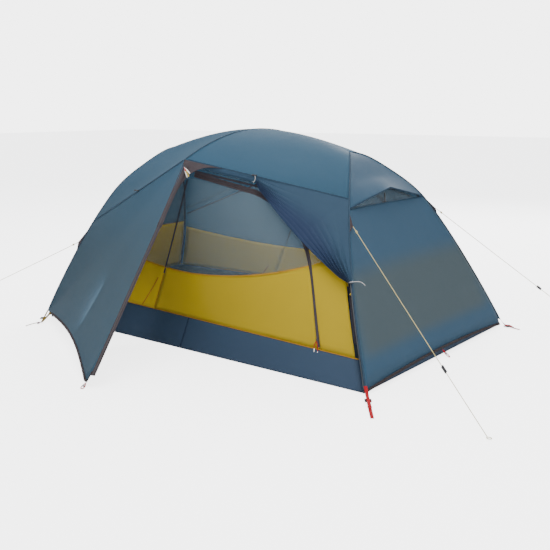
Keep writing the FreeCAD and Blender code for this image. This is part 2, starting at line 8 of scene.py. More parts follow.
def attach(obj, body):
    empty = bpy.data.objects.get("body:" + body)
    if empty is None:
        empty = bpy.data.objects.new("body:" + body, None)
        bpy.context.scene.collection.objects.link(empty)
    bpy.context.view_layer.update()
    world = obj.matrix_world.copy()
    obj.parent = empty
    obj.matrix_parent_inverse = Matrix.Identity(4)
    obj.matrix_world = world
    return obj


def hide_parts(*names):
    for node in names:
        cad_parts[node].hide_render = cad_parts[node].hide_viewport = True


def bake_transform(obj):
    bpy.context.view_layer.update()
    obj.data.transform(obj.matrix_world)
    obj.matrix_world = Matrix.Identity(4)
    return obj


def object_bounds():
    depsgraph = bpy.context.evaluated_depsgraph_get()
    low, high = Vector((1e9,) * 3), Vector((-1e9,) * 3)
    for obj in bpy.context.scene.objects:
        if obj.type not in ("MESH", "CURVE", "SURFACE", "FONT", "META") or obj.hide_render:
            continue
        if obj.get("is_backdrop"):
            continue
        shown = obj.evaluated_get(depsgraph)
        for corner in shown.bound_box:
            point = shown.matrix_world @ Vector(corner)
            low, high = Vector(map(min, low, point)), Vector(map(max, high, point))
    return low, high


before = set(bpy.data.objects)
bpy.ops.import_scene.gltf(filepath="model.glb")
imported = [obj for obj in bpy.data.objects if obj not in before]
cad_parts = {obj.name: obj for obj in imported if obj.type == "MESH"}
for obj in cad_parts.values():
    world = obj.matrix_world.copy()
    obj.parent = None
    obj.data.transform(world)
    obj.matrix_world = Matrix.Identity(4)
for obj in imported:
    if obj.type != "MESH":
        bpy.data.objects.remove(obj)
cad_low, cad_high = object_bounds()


# ==== Studio ===============================================================================
# Pale seamless floor under the pitched tent, a bright even sky, four broad soft lamps outside and two
# small ones under the cloth for the daylight that thin cloth lets in. The camera stands at the head
# end of the open door side, a little above the ridge's height.
def soft_lamp(name, place, aim, size, power):
    lamp = bpy.data.lights.new(name, "AREA")
    lamp.shape, lamp.size, lamp.energy = "SQUARE", size, power
    thing = bpy.data.objects.new(name, lamp)
    bpy.context.collection.objects.link(thing)
    thing.location = place
    thing.rotation_euler = (Vector(aim) - Vector(place)).to_track_quat("-Z", "Y").to_euler()
    thing.visible_camera = False


BACKDROP = 4.9                                   # brightness of the paper-white surround
world = bpy.data.worlds.new("studio_sky")
bpy.context.scene.world = world
world.use_nodes = True
sky_nodes, sky_links = world.node_tree.nodes, world.node_tree.links
sky_nodes["Background"].inputs["Color"].default_value = (0.93, 0.95, 1.0, 1)
sky_nodes["Background"].inputs["Strength"].default_value = 0.85
seen_sky = sky_nodes.new("ShaderNodeBackground")
seen_sky.inputs["Color"].default_value = (1, 1, 1, 1)
seen_sky.inputs["Strength"].default_value = BACKDROP
sky_mix = sky_nodes.new("ShaderNodeMixShader")
sky_links.new(sky_nodes.new("ShaderNodeLightPath").outputs["Is Camera Ray"], sky_mix.inputs[0])
sky_links.new(sky_nodes["Background"].outputs[0], sky_mix.inputs[1])
sky_links.new(seen_sky.outputs[0], sky_mix.inputs[2])
sky_links.new(sky_mix.outputs[0], sky_nodes["World Output"].inputs["Surface"])
soft_lamp("top_lamp", (0.8, -1.6, 5.2), (0, 0, 0.4), 4.0, 230)
soft_lamp("door_lamp", (5.6, -4.4, 1.5), (-0.4, -0.55, 0.22), 1.8, 175)
soft_lamp("side_lamp", (-5.0, -3.0, 3.0), (0, 0, 0.4), 4.0, 105)
soft_lamp("back_lamp", (-1.0, 5.0, 4.0), (0, 0, 0.5), 4.0, 420)
soft_lamp("roof_glow", (-0.15, 0.0, 0.84), (-0.15, 0.15, 0.0), 0.40, 6.5)
soft_lamp("porch_fill", (-0.35, -0.82, 0.20), (-0.90, -0.50, 0.12), 0.24, 0.5)

camera = bpy.data.objects.new("camera", bpy.data.cameras.new("camera"))
bpy.context.collection.objects.link(camera)
camera.location = (2.856, -3.863, 1.181)
camera.rotation_euler = (math.pi / 2 - 0.186, 0, 0.619)
camera.data.sensor_width = 36.0
camera.data.lens = 58.9
bpy.context.scene.camera = camera

floor_mesh = bpy.data.meshes.new("studio_floor")
floor_mesh.from_pydata([(-30, -30, -0.002), (30, -30, -0.002), (30, 30, -0.002), (-30, 30, -0.002)],
                       [], [(0, 1, 2, 3)])
studio_floor = bpy.data.objects.new("studio_floor", floor_mesh)
bpy.context.collection.objects.link(studio_floor)
floor_paint = bpy.data.materials.new("studio_floor")
floor_paint.use_nodes = True
floor_nodes, floor_links = floor_paint.node_tree.nodes, floor_paint.node_tree.links
floor_nodes["Principled BSDF"].inputs["Base Color"].default_value = (0.80, 0.80, 0.80, 1)
floor_nodes["Principled BSDF"].inputs["Roughness"].default_value = 0.9
floor_nodes["Principled BSDF"].inputs["Emission Color"].default_value = (1, 1, 1, 1)
floor_glow = floor_nodes.new("ShaderNodeMath")
floor_glow.operation = "MULTIPLY"
floor_glow.inputs[1].default_value = BACKDROP - 1.50
floor_links.new(floor_nodes.new("ShaderNodeLightPath").outputs["Is Camera Ray"], floor_glow.inputs[0])
floor_links.new(floor_glow.outputs[0], floor_nodes["Principled BSDF"].inputs["Emission Strength"])
floor_mesh.materials.append(floor_paint)
studio_floor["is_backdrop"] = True


# ==== Pole frame ===========================================================================
# Bent 9.5 mm aluminium poles: a spine over the sleeping length ends in a hub at each end, two legs
# run from each hub to the ground, and a ridge pole crosses over the spine to prop both doorways.
LENGTH, HEAD_WIDTH, FOOT_WIDTH = 2.2, 1.49, 1.12
APEX = cad_high.z                                # roof cloth over the middle
HUB_X, HUB_HEIGHT = 0.555, 0.956
TIP_Y, TIP_HEIGHT = 0.592, 0.930                 # tips of the ridge pole
LEG_BOW, LEG_FULLNESS, LEG_DIP, LEG_END = 0.045, 0.93, 0.022, 0.98
EAVE_FRACTION = {1: 0.42, -1: 0.63}              # where the eave meets a leg: head end, foot end
POLE_R = 0.00475


def leg(end, side, s, inset=0.0):
    """A point on a leg seam, from the hub at s = 0 to the ground at s = 1."""
    half = (HEAD_WIDTH if end > 0 else FOOT_WIDTH) / 2
    hub = Vector((end * HUB_X, 0, 0))
    plan = Vector((end * (LENGTH / 2 - inset), side * (half - inset), 0)) - hub
    out = Vector((-end * abs(plan.y), side * abs(plan.x), 0)).normalized()
    point = hub + plan * s + out * (LEG_BOW * math.sin(math.pi * max(s, 0.0) ** 1.5))
    point.z = (HUB_HEIGHT - inset) * max(math.cos(math.pi * s / 2), 0.0) ** LEG_FULLNESS
    if 0 < s < 0.5:
        point.z -= LEG_DIP * math.sin(2 * math.pi * s) ** 2
    return point


def ridge(side, k, inset=0.0):
    return Vector((0, side * k * (TIP_Y - inset), APEX - inset - (APEX - TIP_HEIGHT) * k * k))


def spine(end, k, inset=0.0):
    return Vector((end * k * HUB_X, 0, APEX - inset - (APEX - HUB_HEIGHT) * k * k))


def eave(end, side, k, inset=0.0):
    return ridge(side, 1, inset).lerp(leg(end, side, EAVE_FRACTION[end], inset), k)


def steps(low, high, count):
    return [low + (high - low) * i / count for i in range(count + 1)]


def add_piece(name, vertices, faces, material, smooth=True):
    """A mesh object from vertices and faces, with one material."""
    mesh = bpy.data.meshes.new(name)
    mesh.from_pydata([tuple(v) for v in vertices], [], faces)
    mesh.materials.append(material)
    for face in mesh.polygons:
        face.use_smooth = smooth
    piece = bpy.data.objects.new(name, mesh)
    bpy.context.collection.objects.link(piece)
    return piece


def put_uv(piece, uv):
    """A UV map in metres of cloth or cord, given for each vertex."""
    layer = piece.data.uv_layers.new(name="UVMap")
    for loop in piece.data.loops:
        layer.data[loop.index].uv = uv[loop.vertex_index]


def along(points, q):
    """The point a fraction q along a chain of points."""
    runs = [(b - a).length for a, b in zip(points, points[1:])]
    left = q * sum(runs)
    for a, b, run in zip(points, points[1:], runs):
        if left <= run:
            return a.lerp(b, left / run if run else 0)
        left -= run
    return points[-1].copy()


def rounded(points, passes=2):
    """The chain with its corners cut, for cloth edges and bent tube."""
    for _ in range(passes):
        out = [points[0]]
        for a, b in zip(points, points[1:]):
            out += [a.lerp(b, 0.25), a.lerp(b, 0.75)]
        points = out + [points[-1]]
    return points


def tube(name, points, radius, material, sides=10, flat=1.0, up=(0.05, 0.03, 1.0)):
    """A closed tube round a chain of points; flat squashes it across the up direction."""
    vertices, faces, uv = [], [], []
    length = 0.0
    for i, point in enumerate(points):
        run = (points[min(i + 1, len(points) - 1)] - points[max(i - 1, 0)]).normalized()
        across = run.cross(Vector(up)).normalized()
        over = across.cross(run)
        length += (point - points[max(i - 1, 0)]).length
        wide = radius[i] if isinstance(radius, list) else radius
        for k in range(sides):
            t = 2 * math.pi * k / sides
            vertices.append(point + across * (wide * math.cos(t)) + over * (wide * flat * math.sin(t)))
            uv.append((t * wide, length))
    for i in range(len(points) - 1):
        for k in range(sides):
            a, b = i * sides + k, i * sides + (k + 1) % sides
            faces.append((a, b, b + sides, a + sides))
    last = (len(points) - 1) * sides
    faces.append(tuple(reversed(range(sides))))
    faces.append(tuple(range(last, last + sides)))
    piece = add_piece(name, vertices, faces, material)
    put_uv(piece, uv)
    return piece


def new_material(name):
    """An empty node material: its nodes, its links, and its Principled shader."""
    paint = bpy.data.materials.new(name)
    paint.use_nodes = True
    nodes, links = paint.node_tree.nodes, paint.node_tree.links
    return paint, nodes, links, nodes["Principled BSDF"]


def add_node(nodes, kind, **values):
    node = nodes.new(kind)
    for key, value in values.items():
        if hasattr(node, key):
            setattr(node, key, value)
        else:
            node.inputs[key].default_value = value
    return node


def group_socket(tree, name, direction, kind="NodeSocketFloat", value=None):
    socket = tree.interface.new_socket(name=name, in_out=direction, socket_type=kind)
    if value is not None:
        socket.default_value = value


def make_wear_group():
    """Soft mottling and fine scratches that any finish can mix into its colour and roughness."""
    tree = bpy.data.node_groups.new("handling_wear", "ShaderNodeTree")
    group_socket(tree, "Vector", "INPUT", "NodeSocketVector")
    group_socket(tree, "Scale", "INPUT", value=20.0)
    group_socket(tree, "Mottle", "OUTPUT")
    group_socket(tree, "Scratches", "OUTPUT")
    inside, outside = tree.nodes.new("NodeGroupInput"), tree.nodes.new("NodeGroupOutput")
    cloud = add_node(tree.nodes, "ShaderNodeTexNoise", Detail=5.0, Roughness=0.6)
    stretch = add_node(tree.nodes, "ShaderNodeVectorMath", operation="MULTIPLY")
    stretch.inputs[1].default_value = (1.0, 1.0, 14.0)
    fine = add_node(tree.nodes, "ShaderNodeTexNoise", Detail=3.0, Roughness=0.5)
    cut = add_node(tree.nodes, "ShaderNodeMapRange")
    cut.inputs["From Min"].default_value = 0.56
    cut.inputs["From Max"].default_value = 0.66
    tree.links.new(inside.outputs["Vector"], cloud.inputs["Vector"])
    tree.links.new(inside.outputs["Scale"], cloud.inputs["Scale"])
    tree.links.new(inside.outputs["Vector"], stretch.inputs[0])
    tree.links.new(stretch.outputs[0], fine.inputs["Vector"])
    tree.links.new(inside.outputs["Scale"], fine.inputs["Scale"])
    tree.links.new(fine.outputs["Fac"], cut.inputs["Value"])
    tree.links.new(cloud.outputs["Fac"], outside.inputs["Mottle"])
    tree.links.new(cut.outputs["Result"], outside.inputs["Scratches"])
    return tree


WEAR = make_wear_group()


def hard_finish(name, colour, roughness, metallic, scale=30.0, second=None, bump=0.15):
    """Metal or moulded plastic: mottled colour, scratches in its gloss and a faint surface grain."""
    paint, nodes, links, shader = new_material(name)
    place = nodes.new("ShaderNodeTexCoord")
    wear = add_node(nodes, "ShaderNodeGroup", node_tree=WEAR)
    wear.inputs["Scale"].default_value = scale
    links.new(place.outputs["Object"], wear.inputs["Vector"])
    blend = add_node(nodes, "ShaderNodeMix", data_type="RGBA")
    blend.inputs["A"].default_value = (*colour, 1)
    blend.inputs["B"].default_value = (*(second or [c * 1.35 + 0.01 for c in colour]), 1)
    links.new(wear.outputs["Mottle"], blend.inputs["Factor"])
    links.new(blend.outputs["Result"], shader.inputs["Base Color"])
    gloss = add_node(nodes, "ShaderNodeMapRange")
    gloss.inputs["To Min"].default_value = roughness
    gloss.inputs["To Max"].default_value = min(roughness + 0.18, 1.0)
    links.new(wear.outputs["Scratches"], gloss.inputs["Value"])
    links.new(gloss.outputs["Result"], shader.inputs["Roughness"])
    relief = add_node(nodes, "ShaderNodeBump")
    relief.inputs["Strength"].default_value = bump
    relief.inputs["Distance"].default_value = 0.0004
    links.new(wear.outputs["Mottle"], relief.inputs["Height"])
    links.new(relief.outputs["Normal"], shader.inputs["Normal"])
    shader.inputs["Metallic"].default_value = metallic
    return paint


def fasten(piece, slot, *nodes, body="tent"):
    """Attaches a piece to the body that carries it and hides the plain solids it stands for; slot is not
    used.
    """
    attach(piece, body)
    if nodes:
        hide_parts(*nodes)


ANODISED = hard_finish("anodised_pole", (0.075, 0.085, 0.10), 0.32, 0.85, 60.0)
BARE_ALLOY = hard_finish("polished_ferrule", (0.55, 0.56, 0.58), 0.25, 1.0, 80.0)
MOULDED = hard_finish("moulded_black", (0.018, 0.018, 0.020), 0.48, 0.0, 90.0)
CLIP_YELLOW = hard_finish("moulded_yellow", (0.60, 0.38, 0.03), 0.42, 0.0, 90.0)

LEG_INSET, POLE_INSET = 0.019, 0.013
SPINE_DROP = POLE_INSET + 2 * POLE_R + 0.0006
TIP_Z = 0.016                                    # a leg pole ends in its tip, above the ground
for side, side_name in ((-1, "front"), (1, "back")):
    for end, end_name in ((-1, "left"), (1, "right")):
        name = "leg_pole_%s_%s" % (side_name, end_name)
        line = [leg(end, side, s, LEG_INSET) for s in steps(0.035, 0.985, 40)]
        line[-1].z = TIP_Z
        pole = tube(name + "_tube", line, POLE_R, ANODISED, 14)
        fasten(pole, "pole", name)
spine_line = [spine(1 if k > 0 else -1, abs(k), SPINE_DROP) for k in steps(-0.97, 0.97, 40)]
ridge_line = [ridge(1 if k > 0 else -1, abs(k), POLE_INSET) for k in steps(-0.975, 0.975, 40)]
spine_tube = tube("spine_tube", spine_line, POLE_R, ANODISED, 14)
ridge_tube = tube("ridge_tube", ridge_line, POLE_R, ANODISED, 14)
for pole, node in ((spine_tube, "spine_pole"), (ridge_tube, "ridge_pole")):
    fasten(pole, "pole", node)


def refinish(node, material):
    """A carried-over CAD piece keeps its mesh and gets its finish."""
    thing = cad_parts[node]
    for held in thing.material_slots:
        held.material = material


refinish("pole_ferrules", BARE_ALLOY)
refinish("pole_hubs", MOULDED)
refinish("ridge_clip", MOULDED)
refinish("pole_tips", MOULDED)
refinish("inner_clips", CLIP_YELLOW)


# ==== Cloth ================================================================================
# Ripstop weaves: a plain weave with a thicker thread every few millimetres. Panels are cut flat,
# sewn edge to edge and pulled taut by the poles, so each is a smooth sheet with puckers at its seams.
def make_ripstop_group():
    tree = bpy.data.node_groups.new("ripstop_weave", "ShaderNodeTree")
    group_socket(tree, "Vector", "INPUT", "NodeSocketVector")
    group_socket(tree, "Cell", "INPUT", value=0.005)
    group_socket(tree, "Thread", "INPUT", value=0.0006)
    group_socket(tree, "Grid", "OUTPUT")
    group_socket(tree, "Height", "OUTPUT")
    nodes, links = tree.nodes, tree.links
    inside, outside = nodes.new("NodeGroupInput"), nodes.new("NodeGroupOutput")
    split = nodes.new("ShaderNodeSeparateXYZ")
    links.new(inside.outputs["Vector"], split.inputs[0])

    def maths(kind, a, b=None):
        node = add_node(nodes, "ShaderNodeMath", operation=kind)
        for slot_index, value in enumerate((a, b)):
            if value is None:
                continue
            if isinstance(value, (int, float)):
                node.inputs[slot_index].default_value = value
            else:
                links.new(value, node.inputs[slot_index])
        return node.outputs[0]

    lines, waves = [], []
    for axis in ("X", "Y"):
        cells = maths("DIVIDE", split.outputs[axis], inside.outputs["Cell"])
        middle = maths("ABSOLUTE", maths("SUBTRACT", maths("FRACT", cells), 0.5))
        lines.append(maths("GREATER_THAN", middle, 0.44))
        threads = maths("DIVIDE", split.outputs[axis], inside.outputs["Thread"])
        waves.append(maths("SINE", maths("MULTIPLY", threads, math.pi)))
    grid = maths("MAXIMUM", lines[0], lines[1])
    weave = maths("MULTIPLY", waves[0], waves[1])
    links.new(grid, outside.inputs["Grid"])
    links.new(maths("ADD", maths("MULTIPLY", weave, 0.35), grid), outside.inputs["Height"])
    return tree


RIPSTOP = make_ripstop_group()


def cloth_finish(name, colour, shade, grid_colour, roughness=0.62, sheen=0.25, glow=0.3, glow_colour=None,
                 cell=0.005, crease=0.25, tint=None, foot=None, edge=None):
    """Woven nylon: colour clouds, ripstop grid, weave relief and light coming through from behind.
    tint is (colour, low z, high z, reach): painted light where a lining shows through the cloth. foot is
    the greyer colour towards the ground, painted shade, and edge is (colour, from, to): a darker colour
    towards one edge."""
    paint, nodes, links, shader = new_material(name)
    place = nodes.new("ShaderNodeTexCoord")
    weave = add_node(nodes, "ShaderNodeGroup", node_tree=RIPSTOP)
    weave.inputs["Cell"].default_value = cell
    links.new(place.outputs["UV"], weave.inputs["Vector"])
    wear = add_node(nodes, "ShaderNodeGroup", node_tree=WEAR)
    wear.inputs["Scale"].default_value = 3.2
    links.new(place.outputs["Object"], wear.inputs["Vector"])
    clouds = add_node(nodes, "ShaderNodeMix", data_type="RGBA")
    clouds.inputs["A"].default_value = (*colour, 1)
    clouds.inputs["B"].default_value = (*shade, 1)
    links.new(wear.outputs["Mottle"], clouds.inputs["Factor"])
    colour_out = clouds.outputs["Result"]
    # Painted shade: from 0.98 m down to 0.35 m the colour turns towards the greyer foot colour.
    if foot:
        level = nodes.new("ShaderNodeSeparateXYZ")
        links.new(place.outputs["Object"], level.inputs[0])
        down = add_node(nodes, "ShaderNodeMapRange", interpolation_type="SMOOTHSTEP")
        down.inputs["From Min"].default_value = 0.98
        down.inputs["From Max"].default_value = 0.35
        links.new(level.outputs["Z"], down.inputs["Value"])
        painted_low_shade = add_node(nodes, "ShaderNodeMix", data_type="RGBA")
        painted_low_shade.inputs["B"].default_value = (*foot, 1)
        links.new(down.outputs[0], painted_low_shade.inputs["Factor"])
        links.new(colour_out, painted_low_shade.inputs["A"])
        colour_out = painted_low_shade.outputs["Result"]
    # A darker colour mixed in towards one edge, across the first UV axis.
    if edge:
        spread = nodes.new("ShaderNodeSeparateXYZ")
        links.new(place.outputs["UV"], spread.inputs[0])
        near = add_node(nodes, "ShaderNodeMapRange", interpolation_type="SMOOTHSTEP")
        near.inputs["From Min"].default_value = edge[1]
        near.inputs["From Max"].default_value = edge[2]
        links.new(spread.outputs["X"], near.inputs["Value"])
        dark_edge_mix = add_node(nodes, "ShaderNodeMix", data_type="RGBA")
        dark_edge_mix.inputs["B"].default_value = (*edge[0], 1)
        links.new(near.outputs[0], dark_edge_mix.inputs["Factor"])
        links.new(colour_out, dark_edge_mix.inputs["A"])
        colour_out = dark_edge_mix.outputs["Result"]
    # Painted light: the lining's colour as seen lit through the cloth, mixed in between two heights and
    # within a reach of the middle.
    if tint:
        lining, low, high, reach = tint
        where = nodes.new("ShaderNodeSeparateXYZ")
        links.new(place.outputs["Object"], where.inputs[0])
        rise = add_node(nodes, "ShaderNodeMapRange", interpolation_type="SMOOTHSTEP")
        rise.inputs["From Min"].default_value = low - 0.03
        rise.inputs["From Max"].default_value = low + 0.04
        fall = add_node(nodes, "ShaderNodeMapRange", interpolation_type="SMOOTHSTEP")
        fall.inputs["From Min"].default_value = high + 0.05
        fall.inputs["From Max"].default_value = high - 0.07
        sides = add_node(nodes, "ShaderNodeMapRange", interpolation_type="SMOOTHSTEP")
        sides.inputs["From Min"].default_value = reach + 0.10
        sides.inputs["From Max"].default_value = reach - 0.10
        across = add_node(nodes, "ShaderNodeMath", operation="ABSOLUTE")
        links.new(where.outputs["Z"], rise.inputs["Value"])
        links.new(where.outputs["Z"], fall.inputs["Value"])
        links.new(where.outputs["Y"], across.inputs[0])
        links.new(across.outputs[0], sides.inputs["Value"])
        both = add_node(nodes, "ShaderNodeMath", operation="MULTIPLY")
        links.new(rise.outputs[0], both.inputs[0])
        links.new(fall.outputs[0], both.inputs[1])
        share = add_node(nodes, "ShaderNodeMath", operation="MULTIPLY")
        links.new(both.outputs[0], share.inputs[0])
        links.new(sides.outputs[0], share.inputs[1])
        through = add_node(nodes, "ShaderNodeMix", data_type="RGBA")
        through.inputs["B"].default_value = (*lining, 1)
        links.new(share.outputs[0], through.inputs["Factor"])
        links.new(colour_out, through.inputs["A"])
        colour_out = through.outputs["Result"]
    threads = add_node(nodes, "ShaderNodeMix", data_type="RGBA")
    threads.inputs["B"].default_value = (*grid_colour, 1)
    faint = add_node(nodes, "ShaderNodeMath", operation="MULTIPLY")
    faint.inputs[1].default_value = 0.35
    links.new(weave.outputs["Grid"], faint.inputs[0])
    links.new(faint.outputs[0], threads.inputs["Factor"])
    links.new(colour_out, threads.inputs["A"])
    links.new(threads.outputs["Result"], shader.inputs["Base Color"])
    gloss = add_node(nodes, "ShaderNodeMapRange")
    gloss.inputs["To Min"].default_value = roughness - 0.08
    gloss.inputs["To Max"].default_value = roughness + 0.10
    links.new(wear.outputs["Mottle"], gloss.inputs["Value"])
    links.new(gloss.outputs["Result"], shader.inputs["Roughness"])
    ripple = add_node(nodes, "ShaderNodeTexNoise", Scale=16.0, Detail=4.0, Roughness=0.45)
    links.new(place.outputs["Object"], ripple.inputs["Vector"])
    soft = add_node(nodes, "ShaderNodeBump")
    soft.inputs["Strength"].default_value = crease
    soft.inputs["Distance"].default_value = 0.006
    links.new(ripple.outputs["Fac"], soft.inputs["Height"])
    fine = add_node(nodes, "ShaderNodeBump")
    fine.inputs["Strength"].default_value = 0.35
    fine.inputs["Distance"].default_value = 0.00025
    links.new(weave.outputs["Height"], fine.inputs["Height"])
    links.new(soft.outputs["Normal"], fine.inputs["Normal"])
    links.new(fine.outputs["Normal"], shader.inputs["Normal"])
    shader.inputs["Sheen Weight"].default_value = sheen
    shader.inputs["Sheen Roughness"].default_value = 0.45
    shader.inputs["Specular IOR Level"].default_value = 0.16
    if glow:
        lit = add_node(nodes, "ShaderNodeBsdfTranslucent")
        lit.inputs["Color"].default_value = (*(glow_colour or colour), 1)
        mixed = add_node(nodes, "ShaderNodeMixShader")
        mixed.inputs[0].default_value = glow
        links.new(shader.outputs[0], mixed.inputs[1])
        links.new(lit.outputs[0], mixed.inputs[2])
        links.new(mixed.outputs[0], nodes["Material Output"].inputs["Surface"])
    return paint


def net_finish(name, colour, alpha):
    """Insect mesh: knitted threads a couple of millimetres apart, see-through between them."""
    paint, nodes, links, shader = new_material(name)
    place = nodes.new("ShaderNodeTexCoord")
    weave = add_node(nodes, "ShaderNodeGroup", node_tree=RIPSTOP)
    weave.inputs["Cell"].default_value = 0.0016
    links.new(place.outputs["UV"], weave.inputs["Vector"])
    wear = add_node(nodes, "ShaderNodeGroup", node_tree=WEAR)
    wear.inputs["Scale"].default_value = 4.0
    links.new(place.outputs["Object"], wear.inputs["Vector"])
    clouds = add_node(nodes, "ShaderNodeMix", data_type="RGBA")
    clouds.inputs["A"].default_value = (*colour, 1)
    clouds.inputs["B"].default_value = (*[c * 1.3 for c in colour], 1)
    links.new(wear.outputs["Mottle"], clouds.inputs["Factor"])
    links.new(clouds.outputs["Result"], shader.inputs["Base Color"])
    holes = add_node(nodes, "ShaderNodeMapRange")
    holes.inputs["To Min"].default_value = alpha * 0.9
    holes.inputs["To Max"].default_value = min(alpha * 1.35, 1.0)
    links.new(weave.outputs["Grid"], holes.inputs["Value"])
    links.new(holes.outputs["Result"], shader.inputs["Alpha"])
    relief = add_node(nodes, "ShaderNodeBump")
    relief.inputs["Strength"].default_value = 0.4
    relief.inputs["Distance"].default_value = 0.0003
    links.new(weave.outputs["Height"], relief.inputs["Height"])
    links.new(relief.outputs["Normal"], shader.inputs["Normal"])
    shader.inputs["Roughness"].default_value = 0.8
    return paint


FLY_BLUE = (0.034, 0.108, 0.178)
FLY_GLOW = (0.17, 0.36, 0.50)
# The fly cloth; its foot colour is painted shade, greyer towards the ground.
FLY_CLOTH = cloth_finish("flysheet_ripstop", FLY_BLUE, (0.030, 0.096, 0.160), (0.048, 0.135, 0.21),
                         0.58, 0.06, 0.40, FLY_GLOW, foot=(0.034, 0.068, 0.094))
# The end walls: the fly cloth in a greyer, duller blue than the roof, painted shade, with painted light from
# the yellow lining showing through between 0.13 m and 0.47 m high.
FLY_END_CLOTH = cloth_finish("flysheet_end_ripstop", (0.036, 0.090, 0.148), (0.034, 0.082, 0.136),
                             (0.05, 0.115, 0.18), 0.60, 0.08, 0.30, FLY_GLOW,
                             tint=((0.066, 0.092, 0.100), 0.13, 0.47, 0.66))
# The tied-back door: the fly cloth in a darker blue, painted shade under the eave, darker still towards its
# free edge.
DRAPE_CLOTH = cloth_finish("tied_back_ripstop", (0.032, 0.068, 0.112), (0.028, 0.060, 0.100),
                           (0.040, 0.080, 0.13), 0.58, 0.05, 0.22, (0.12, 0.23, 0.32),
                           edge=((0.016, 0.030, 0.075), 0.10, 0.26))
TUB_CLOTH = cloth_finish("tub_floor_cloth", (0.034, 0.058, 0.098), (0.037, 0.063, 0.105),
                         (0.045, 0.073, 0.118), 0.50, 0.05, 0.12, (0.08, 0.15, 0.23), cell=0.004)
YELLOW_CLOTH = cloth_finish("yellow_ripstop", (0.56, 0.415, 0.020), (0.50, 0.355, 0.014), (0.62, 0.45, 0.03),
                            0.66, 0.08, 0.35, (0.75, 0.58, 0.05))
NET = net_finish("insect_net", (0.140, 0.190, 0.225), 0.20)


def grid_normals(rows, inside):
    out = []
    for i, row in enumerate(rows):
        line = []
        for j, point in enumerate(row):
            down = rows[min(i + 1, len(rows) - 1)][j] - rows[max(i - 1, 0)][j]
            over = row[min(j + 1, len(row) - 1)] - row[max(j - 1, 0)]
            normal = down.cross(over)
            normal = normal.normalized() if normal.length > 1e-9 else (point - inside).normalized()
            line.append(normal if normal.dot(point - inside) > 0 else -normal)
        out.append(line)
    return out


def cloth(name, rows, material, relief=None, thickness=0.0008, inside=Vector((0, 0, 0.3))):
    """A panel from a grid of points. relief(i, j, point) lifts it outwards; i and j run from 0 to 1."""
    normals = grid_normals(rows, inside)
    count, width = len(rows), len(rows[0])
    vertices, uv = [], []
    for i, row in enumerate(rows):
        for j, point in enumerate(row):
            lift = relief(i / (count - 1), j / (width - 1), point) if relief else 0.0
            vertices.append(point + normals[i][j] * lift)
    middle_row, middle = rows[count // 2], [row[width // 2] for row in rows]
    across, down = [0.0], [0.0]
    for a, b in zip(middle_row, middle_row[1:]):
        across.append(across[-1] + (b - a).length)
    for a, b in zip(middle, middle[1:]):
        down.append(down[-1] + (b - a).length)
    uv = [(across[j], down[i]) for i in range(count) for j in range(width)]
    a, b, c = rows[count // 2][width // 2], rows[count // 2 + 1][width // 2], middle_row[width // 2 + 1]
    turn = (c - a).cross(b - a).dot(normals[count // 2][width // 2]) > 0
    faces = []
    for i in range(count - 1):
        for j in range(width - 1):
            k = i * width + j
            quad = (k, k + 1, k + width + 1, k + width)
            faces.append(quad if turn else tuple(reversed(quad)))
    piece = add_piece(name, vertices, faces, material)
    put_uv(piece, uv)
    wall_thickness = piece.modifiers.new("cloth", "SOLIDIFY")
    wall_thickness.thickness, wall_thickness.offset = thickness, -1.0
    area = 0.0
    for i in range(count - 1):
        for j in range(width - 1):
            p, q, r, s = rows[i][j], rows[i][j + 1], rows[i + 1][j + 1], rows[i + 1][j]
            area += ((q - p).cross(r - p).length + (r - p).cross(s - p).length) / 2
    wide = max(sum((b - a).length for a, b in zip(row, row[1:])) for row in rows)
    tall = max(sum((rows[i + 1][j] - rows[i][j]).length for i in range(count - 1)) for j in range(width))
    piece["cut"] = (wide, tall, area)
    return piece


def sewn_in(piece, body, *nodes, slot="fly", held="stretched", hangs_from=("spine_tube",), with_pieces=()):
    """Attaches a cloth panel to its body and hides the plain solids it stands for; slot is passed on but not
    used, and the flat cut is read but nothing is kept.
    """
    fasten(piece, slot, *nodes, body=body)
    wide, tall, area = piece["cut"]
    tall = min(tall, 2 * area / wide)


def ribbon(name, points, outward, width, thickness, material, lift=0.0):
    """Tape or binding: a flat strip along points; outward gives its face direction at each point."""
    vertices, faces, uv = [], [], []
    length = 0.0
    for i, point in enumerate(points):
        run = (points[min(i + 1, len(points) - 1)] - points[max(i - 1, 0)]).normalized()
        face = outward(i, point) if callable(outward) else Vector(outward)
        across = run.cross(face).normalized()
        face = across.cross(run).normalized()
        length += (point - points[max(i - 1, 0)]).length
        wide = width(i / (len(points) - 1)) if callable(width) else width
        for a, b in ((-1, 0), (-0.8, 1), (0.8, 1), (1, 0), (0.8, -0.4), (-0.8, -0.4)):
            vertices.append(point + across * (a * wide / 2) + face * (lift + b * thickness))
            uv.append((a * wide / 2, length))
    for i in range(len(points) - 1):
        for k in range(6):
            a, b = i * 6 + k, i * 6 + (k + 1) % 6
            faces.append((a, b, b + 6, a + 6))
    last = (len(points) - 1) * 6
    faces += [tuple(reversed(range(6))), tuple(range(last, last + 6))]
    piece = add_piece(name, vertices, faces, material, smooth=False)
    put_uv(piece, uv)
    return piece


